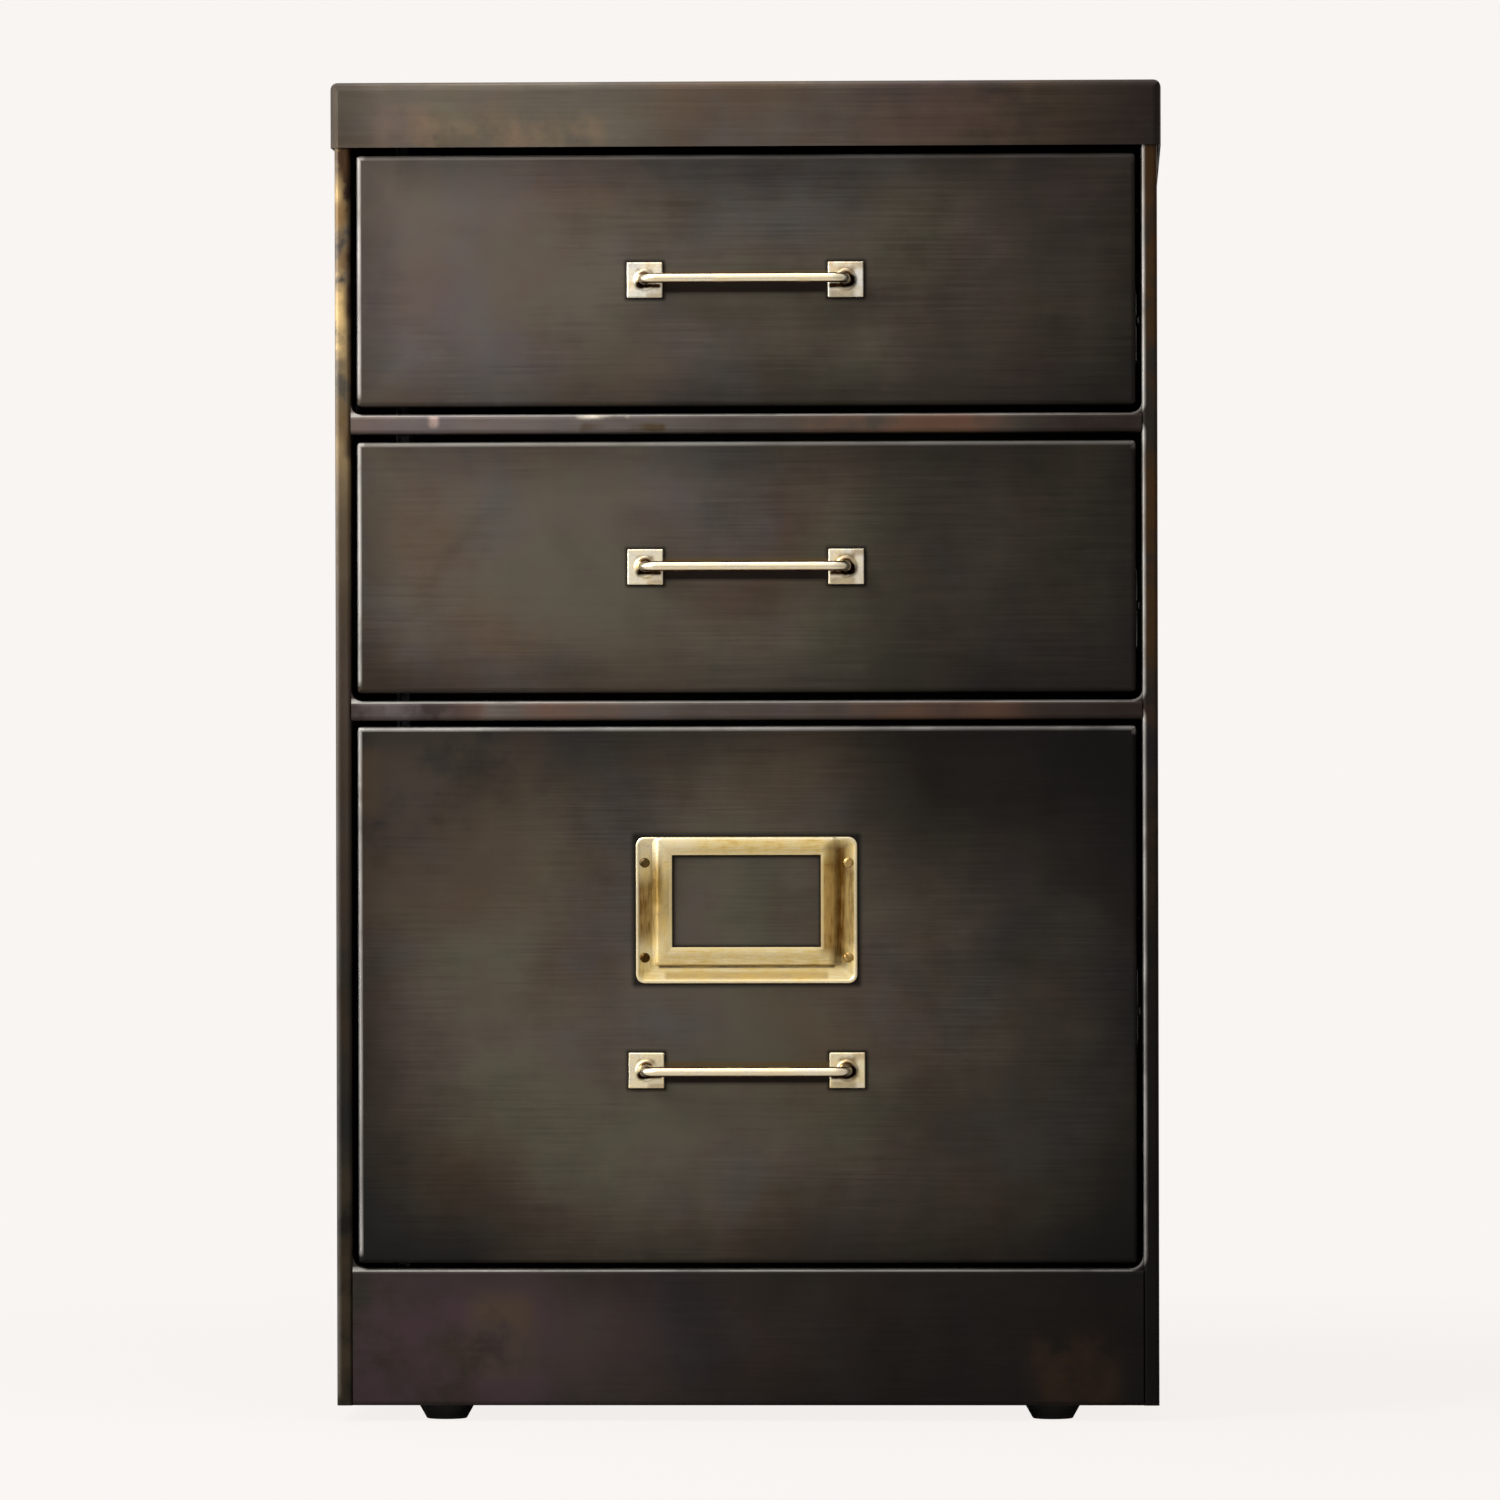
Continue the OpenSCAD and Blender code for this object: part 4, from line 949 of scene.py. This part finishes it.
def smooth(mesh, sharp_from):
    """Shades a mesh smooth, apart from edges sharper than an angle in degrees."""
    mesh.shade_smooth()
    mesh.set_sharp_from_angle(angle=math.radians(sharp_from))


# %% Card frame
low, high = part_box("label_holder")
FACE_Y = high.y
WINDOW_W, WINDOW_H, WINDOW_LIFT = 75.0, 46.4, 4.6
STEP_SIDE, STEP_LOW = 8.6, 8.8
FLANK_SIDE, FLANK_LOW = 3.0, 0.9
THICK, RISE = 0.8, 2.8
centre_z = (low.z + high.z) / 2


def inset_loop(side, bottom, top, radius, rise):
    """A loop inside the frame's outline by these insets in mm, rise mm above the drawer front."""
    return rounded_rectangle(
        low.x + side * MM, high.x - side * MM, low.z + bottom * MM, high.z - top * MM,
        radius * MM, FACE_Y - rise * MM,
    )


flange = [
    inset_loop(0, 0, 0, 4.5, 0),
    inset_loop(0, 0, 0, 4.5, 0.75),
    inset_loop(0.12, 0.12, 0.12, 4.4, 1.05),
    inset_loop(0.45, 0.45, 0.45, 4.1, 1.25),
    inset_loop(0.95, 0.95, 0.95, 3.7, 1.3),
    inset_loop(1.4, 1.4, 1.4, 3.3, 1.22),
    inset_loop(1.9, 1.9, 1.9, 2.9, 0.98),
    inset_loop(2.4, 2.4, 2.4, 2.5, THICK),
    inset_loop(13, 12, 6, 0.5, THICK),
    inset_loop(13, 12, 6, 0.5, 0),
]
window_side = (high.x - low.x) / 2 / MM - WINDOW_W / 2
window_low = (high.z - low.z) / 2 / MM - WINDOW_H / 2 + WINDOW_LIFT
window_top = window_low - 2 * WINDOW_LIFT
face_side, face_low = STEP_SIDE + FLANK_SIDE, STEP_LOW + FLANK_LOW
channel = [
    inset_loop(STEP_SIDE - 0.6, STEP_LOW - 0.2, 0.25, 1.8, THICK - 0.1),
    inset_loop(STEP_SIDE + 0.1, STEP_LOW, 0.25, 1.8, THICK + 0.1),
    inset_loop(face_side - 0.6, face_low - 0.3, 0.3, 1.5, RISE - 0.45),
    inset_loop(face_side - 0.2, face_low - 0.05, 0.5, 1.3, RISE - 0.15),
    inset_loop(face_side + 0.4, face_low + 0.35, 0.9, 1.1, RISE),
    inset_loop(window_side - 0.6, window_low - 0.6, window_top - 0.6, 0.8, RISE),
    inset_loop(window_side - 0.15, window_low - 0.15, window_top - 0.15, 0.5, RISE - 0.12),
    inset_loop(window_side, window_low, window_top, 0.4, RISE - 0.4),
    inset_loop(window_side, window_low, window_top, 0.4, RISE - THICK),
    inset_loop(face_side + 0.3, face_low + 0.5, 1.2, 1.0, RISE - THICK),
    inset_loop(STEP_SIDE + 0.5, STEP_LOW + 0.5, 1.0, 1.2, 0.2),
]
bm = bmesh.new()
ring_of(bm, flange)
ring_of(bm, channel)
bmesh.ops.recalc_face_normals(bm, faces=bm.faces)
card_frame = object_from(bm, "card_frame")
card_frame.data.materials.append(frame_brass)
smooth(card_frame.data, 35)
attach(card_frame, "drawer_file")
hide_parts("label_holder")
print("card frame", len(card_frame.data.polygons), "faces")

# %% [markdown]
# ## Screws
# Every screw head is the same few faces at another place, turned as far as the screwdriver left
# it. Geometry Nodes put one head on each point of a small mesh and turn it about its axis by a
# seeded random angle. The head itself is turned on a lathe, so to speak, and its slot is cut with
# a Boolean.


# %% A screw head
def screw_head(name, diameter, height, slots, slot_width, slot_depth, segments=28):
    """A domed head standing on z = 0 and pointing up, with one slot or a cross recess."""
    profile = [(1.0, 0.0), (1.0, 0.35), (0.93, 0.62), (0.75, 0.86), (0.45, 0.97), (0.0, 1.0)]
    bm = bmesh.new()
    rings = []
    for across, up in profile[:-1]:
        ring = []
        for step in range(segments):
            angle = 2 * math.pi * step / segments
            radius = across * diameter / 2
            ring.append(bm.verts.new((radius * math.cos(angle), radius * math.sin(angle), up * height)))
        rings.append(ring)
    for one, other in zip(rings, rings[1:]):
        bridge(bm, one, other)
    crown = bm.verts.new((0, 0, height))
    for i in range(segments):
        bm.faces.new((rings[-1][i], rings[-1][(i + 1) % segments], crown))
    bm.faces.new(reversed(rings[0]))
    bmesh.ops.recalc_face_normals(bm, faces=bm.faces)
    head = object_from(bm, name)
    length = diameter * (1.2 if slots == 1 else 0.62)
    for number in range(slots):
        bm = bmesh.new()
        size = Matrix.Diagonal((length, slot_width, 2 * slot_depth, 1))
        turned = Matrix.Rotation(math.pi / 2 * number, 4, "Z")
        bmesh.ops.create_cube(bm, size=1, matrix=Matrix.Translation((0, 0, height)) @ turned @ size)
        blade = object_from(bm, "blade")
        cut = head.modifiers.new("slot", "BOOLEAN")
        cut.object = blade
        cut.operation = "DIFFERENCE"
        cut.solver = "EXACT"
        bpy.context.view_layer.update()
        evaluated = head.evaluated_get(bpy.context.evaluated_depsgraph_get())
        sliced = bpy.data.meshes.new_from_object(evaluated)
        head.modifiers.remove(cut)
        head.data = sliced
        bpy.data.objects.remove(blade)
    smooth(head.data, 40)
    return head


# %% A Geometry Nodes tree that sets screws
def screw_tree():
    """Sets a head on every point of the mesh, pointing along the given direction and turned by a seeded random
    angle.
    """
    tree = bpy.data.node_groups.new("set_screws", "GeometryNodeTree")
    kinds = {
        "Geometry": "Geometry", "Head": "Object", "Direction": "Vector", "Finish": "Material", "Seed": "Int"
    }
    for name, kind in kinds.items():
        tree.interface.new_socket(name, in_out="INPUT", socket_type="NodeSocket" + kind)
    tree.interface.new_socket("Geometry", in_out="OUTPUT", socket_type="NodeSocketGeometry")
    new = tree.nodes.new
    wire = tree.links.new
    given = new("NodeGroupInput")
    points = new("GeometryNodeMeshToPoints")
    head = new("GeometryNodeObjectInfo")
    turn = new("FunctionNodeRandomValue")
    turn.inputs[3].default_value = math.tau
    face_out = new("FunctionNodeAlignRotationToVector")
    face_out.axis = "Z"
    spin = new("FunctionNodeAxisAngleToRotation")
    both = new("FunctionNodeRotateRotation")
    both.rotation_space = "LOCAL"
    place = new("GeometryNodeInstanceOnPoints")
    real = new("GeometryNodeRealizeInstances")
    finish = new("GeometryNodeSetMaterial")
    out = new("NodeGroupOutput")
    wire(given.outputs["Geometry"], points.inputs["Mesh"])
    wire(given.outputs["Head"], head.inputs["Object"])
    wire(given.outputs["Seed"], turn.inputs["Seed"])
    wire(given.outputs["Direction"], face_out.inputs["Vector"])
    wire(turn.outputs[1], spin.inputs["Angle"])
    wire(face_out.outputs[0], both.inputs["Rotation"])
    wire(spin.outputs[0], both.inputs["Rotate By"])
    wire(points.outputs[0], place.inputs["Points"])
    wire(head.outputs["Geometry"], place.inputs["Instance"])
    wire(both.outputs[0], place.inputs["Rotation"])
    wire(place.outputs[0], real.inputs[0])
    wire(real.outputs[0], finish.inputs["Geometry"])
    wire(given.outputs["Finish"], finish.inputs["Material"])
    wire(finish.outputs[0], out.inputs[0])
    return tree


def set_screws(name, spots, direction, head, finish, seed):
    """Screws at spots, baked to one plain mesh."""
    mesh = bpy.data.meshes.new(name + "_spots")
    mesh.from_pydata(spots, [], [])
    carrier = placed(name + "_spots", mesh)
    setter = carrier.modifiers.new("screws", "NODES")
    setter.node_group = SCREWS
    values = {"Head": head, "Direction": direction, "Finish": finish, "Seed": seed}
    for item in SCREWS.interface.items_tree:
        if item.in_out == "INPUT" and item.name in values:
            setter[item.identifier] = values[item.name]
    bpy.context.view_layer.update()
    evaluated = carrier.evaluated_get(bpy.context.evaluated_depsgraph_get())
    baked = bpy.data.meshes.new_from_object(evaluated)
    bpy.data.objects.remove(carrier)
    piece = placed(name, baked)
    return piece


SCREWS = screw_tree()
print("screw tree has", len(SCREWS.nodes), "nodes")

# %% Screws of the card frame and of the back panel
CARD_SCREW_X, CARD_SCREW_Z = 51.4 * MM, 24 * MM
head = screw_head(
    "card_frame_screw_head", diameter=5 * MM, height=1.2 * MM, slots=1, slot_width=1.0 * MM, slot_depth=0.9 * MM
)
flange_y = FACE_Y - 0.8 * MM
spots = [(x * CARD_SCREW_X, flange_y, centre_z + z * CARD_SCREW_Z) for x in (-1, 1) for z in (-1, 1)]
card_screws = set_screws("card_frame_screws", spots, (0, -1, 0), head, screw_brass, 4)
bpy.data.objects.remove(head)
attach(card_screws, "drawer_file")
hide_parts("label_screws")

low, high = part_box("back_panel_screws")
back_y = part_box("side_panel_left")[1].y
head = screw_head(
    "back_screw_head", diameter=7 * MM, height=1.6 * MM, slots=2, slot_width=1.2 * MM, slot_depth=1.1 * MM
)
SCREW_ROWS = 4
first, last = low.z + 3.5 * MM, high.z - 3.5 * MM
rows = [first + (last - first) * i / (SCREW_ROWS - 1) for i in range(SCREW_ROWS)]
spots = [(x, back_y, z) for x in (low.x + 3.5 * MM, high.x - 3.5 * MM) for z in rows]
back_screws = set_screws("back_panel_screw_heads", spots, (0, 1, 0), head, zinc, 9)
bpy.data.objects.remove(head)
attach(back_screws, "cabinet")
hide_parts("back_panel_screws")
print(len(card_screws.data.polygons), "and", len(back_screws.data.polygons), "faces of screw heads")
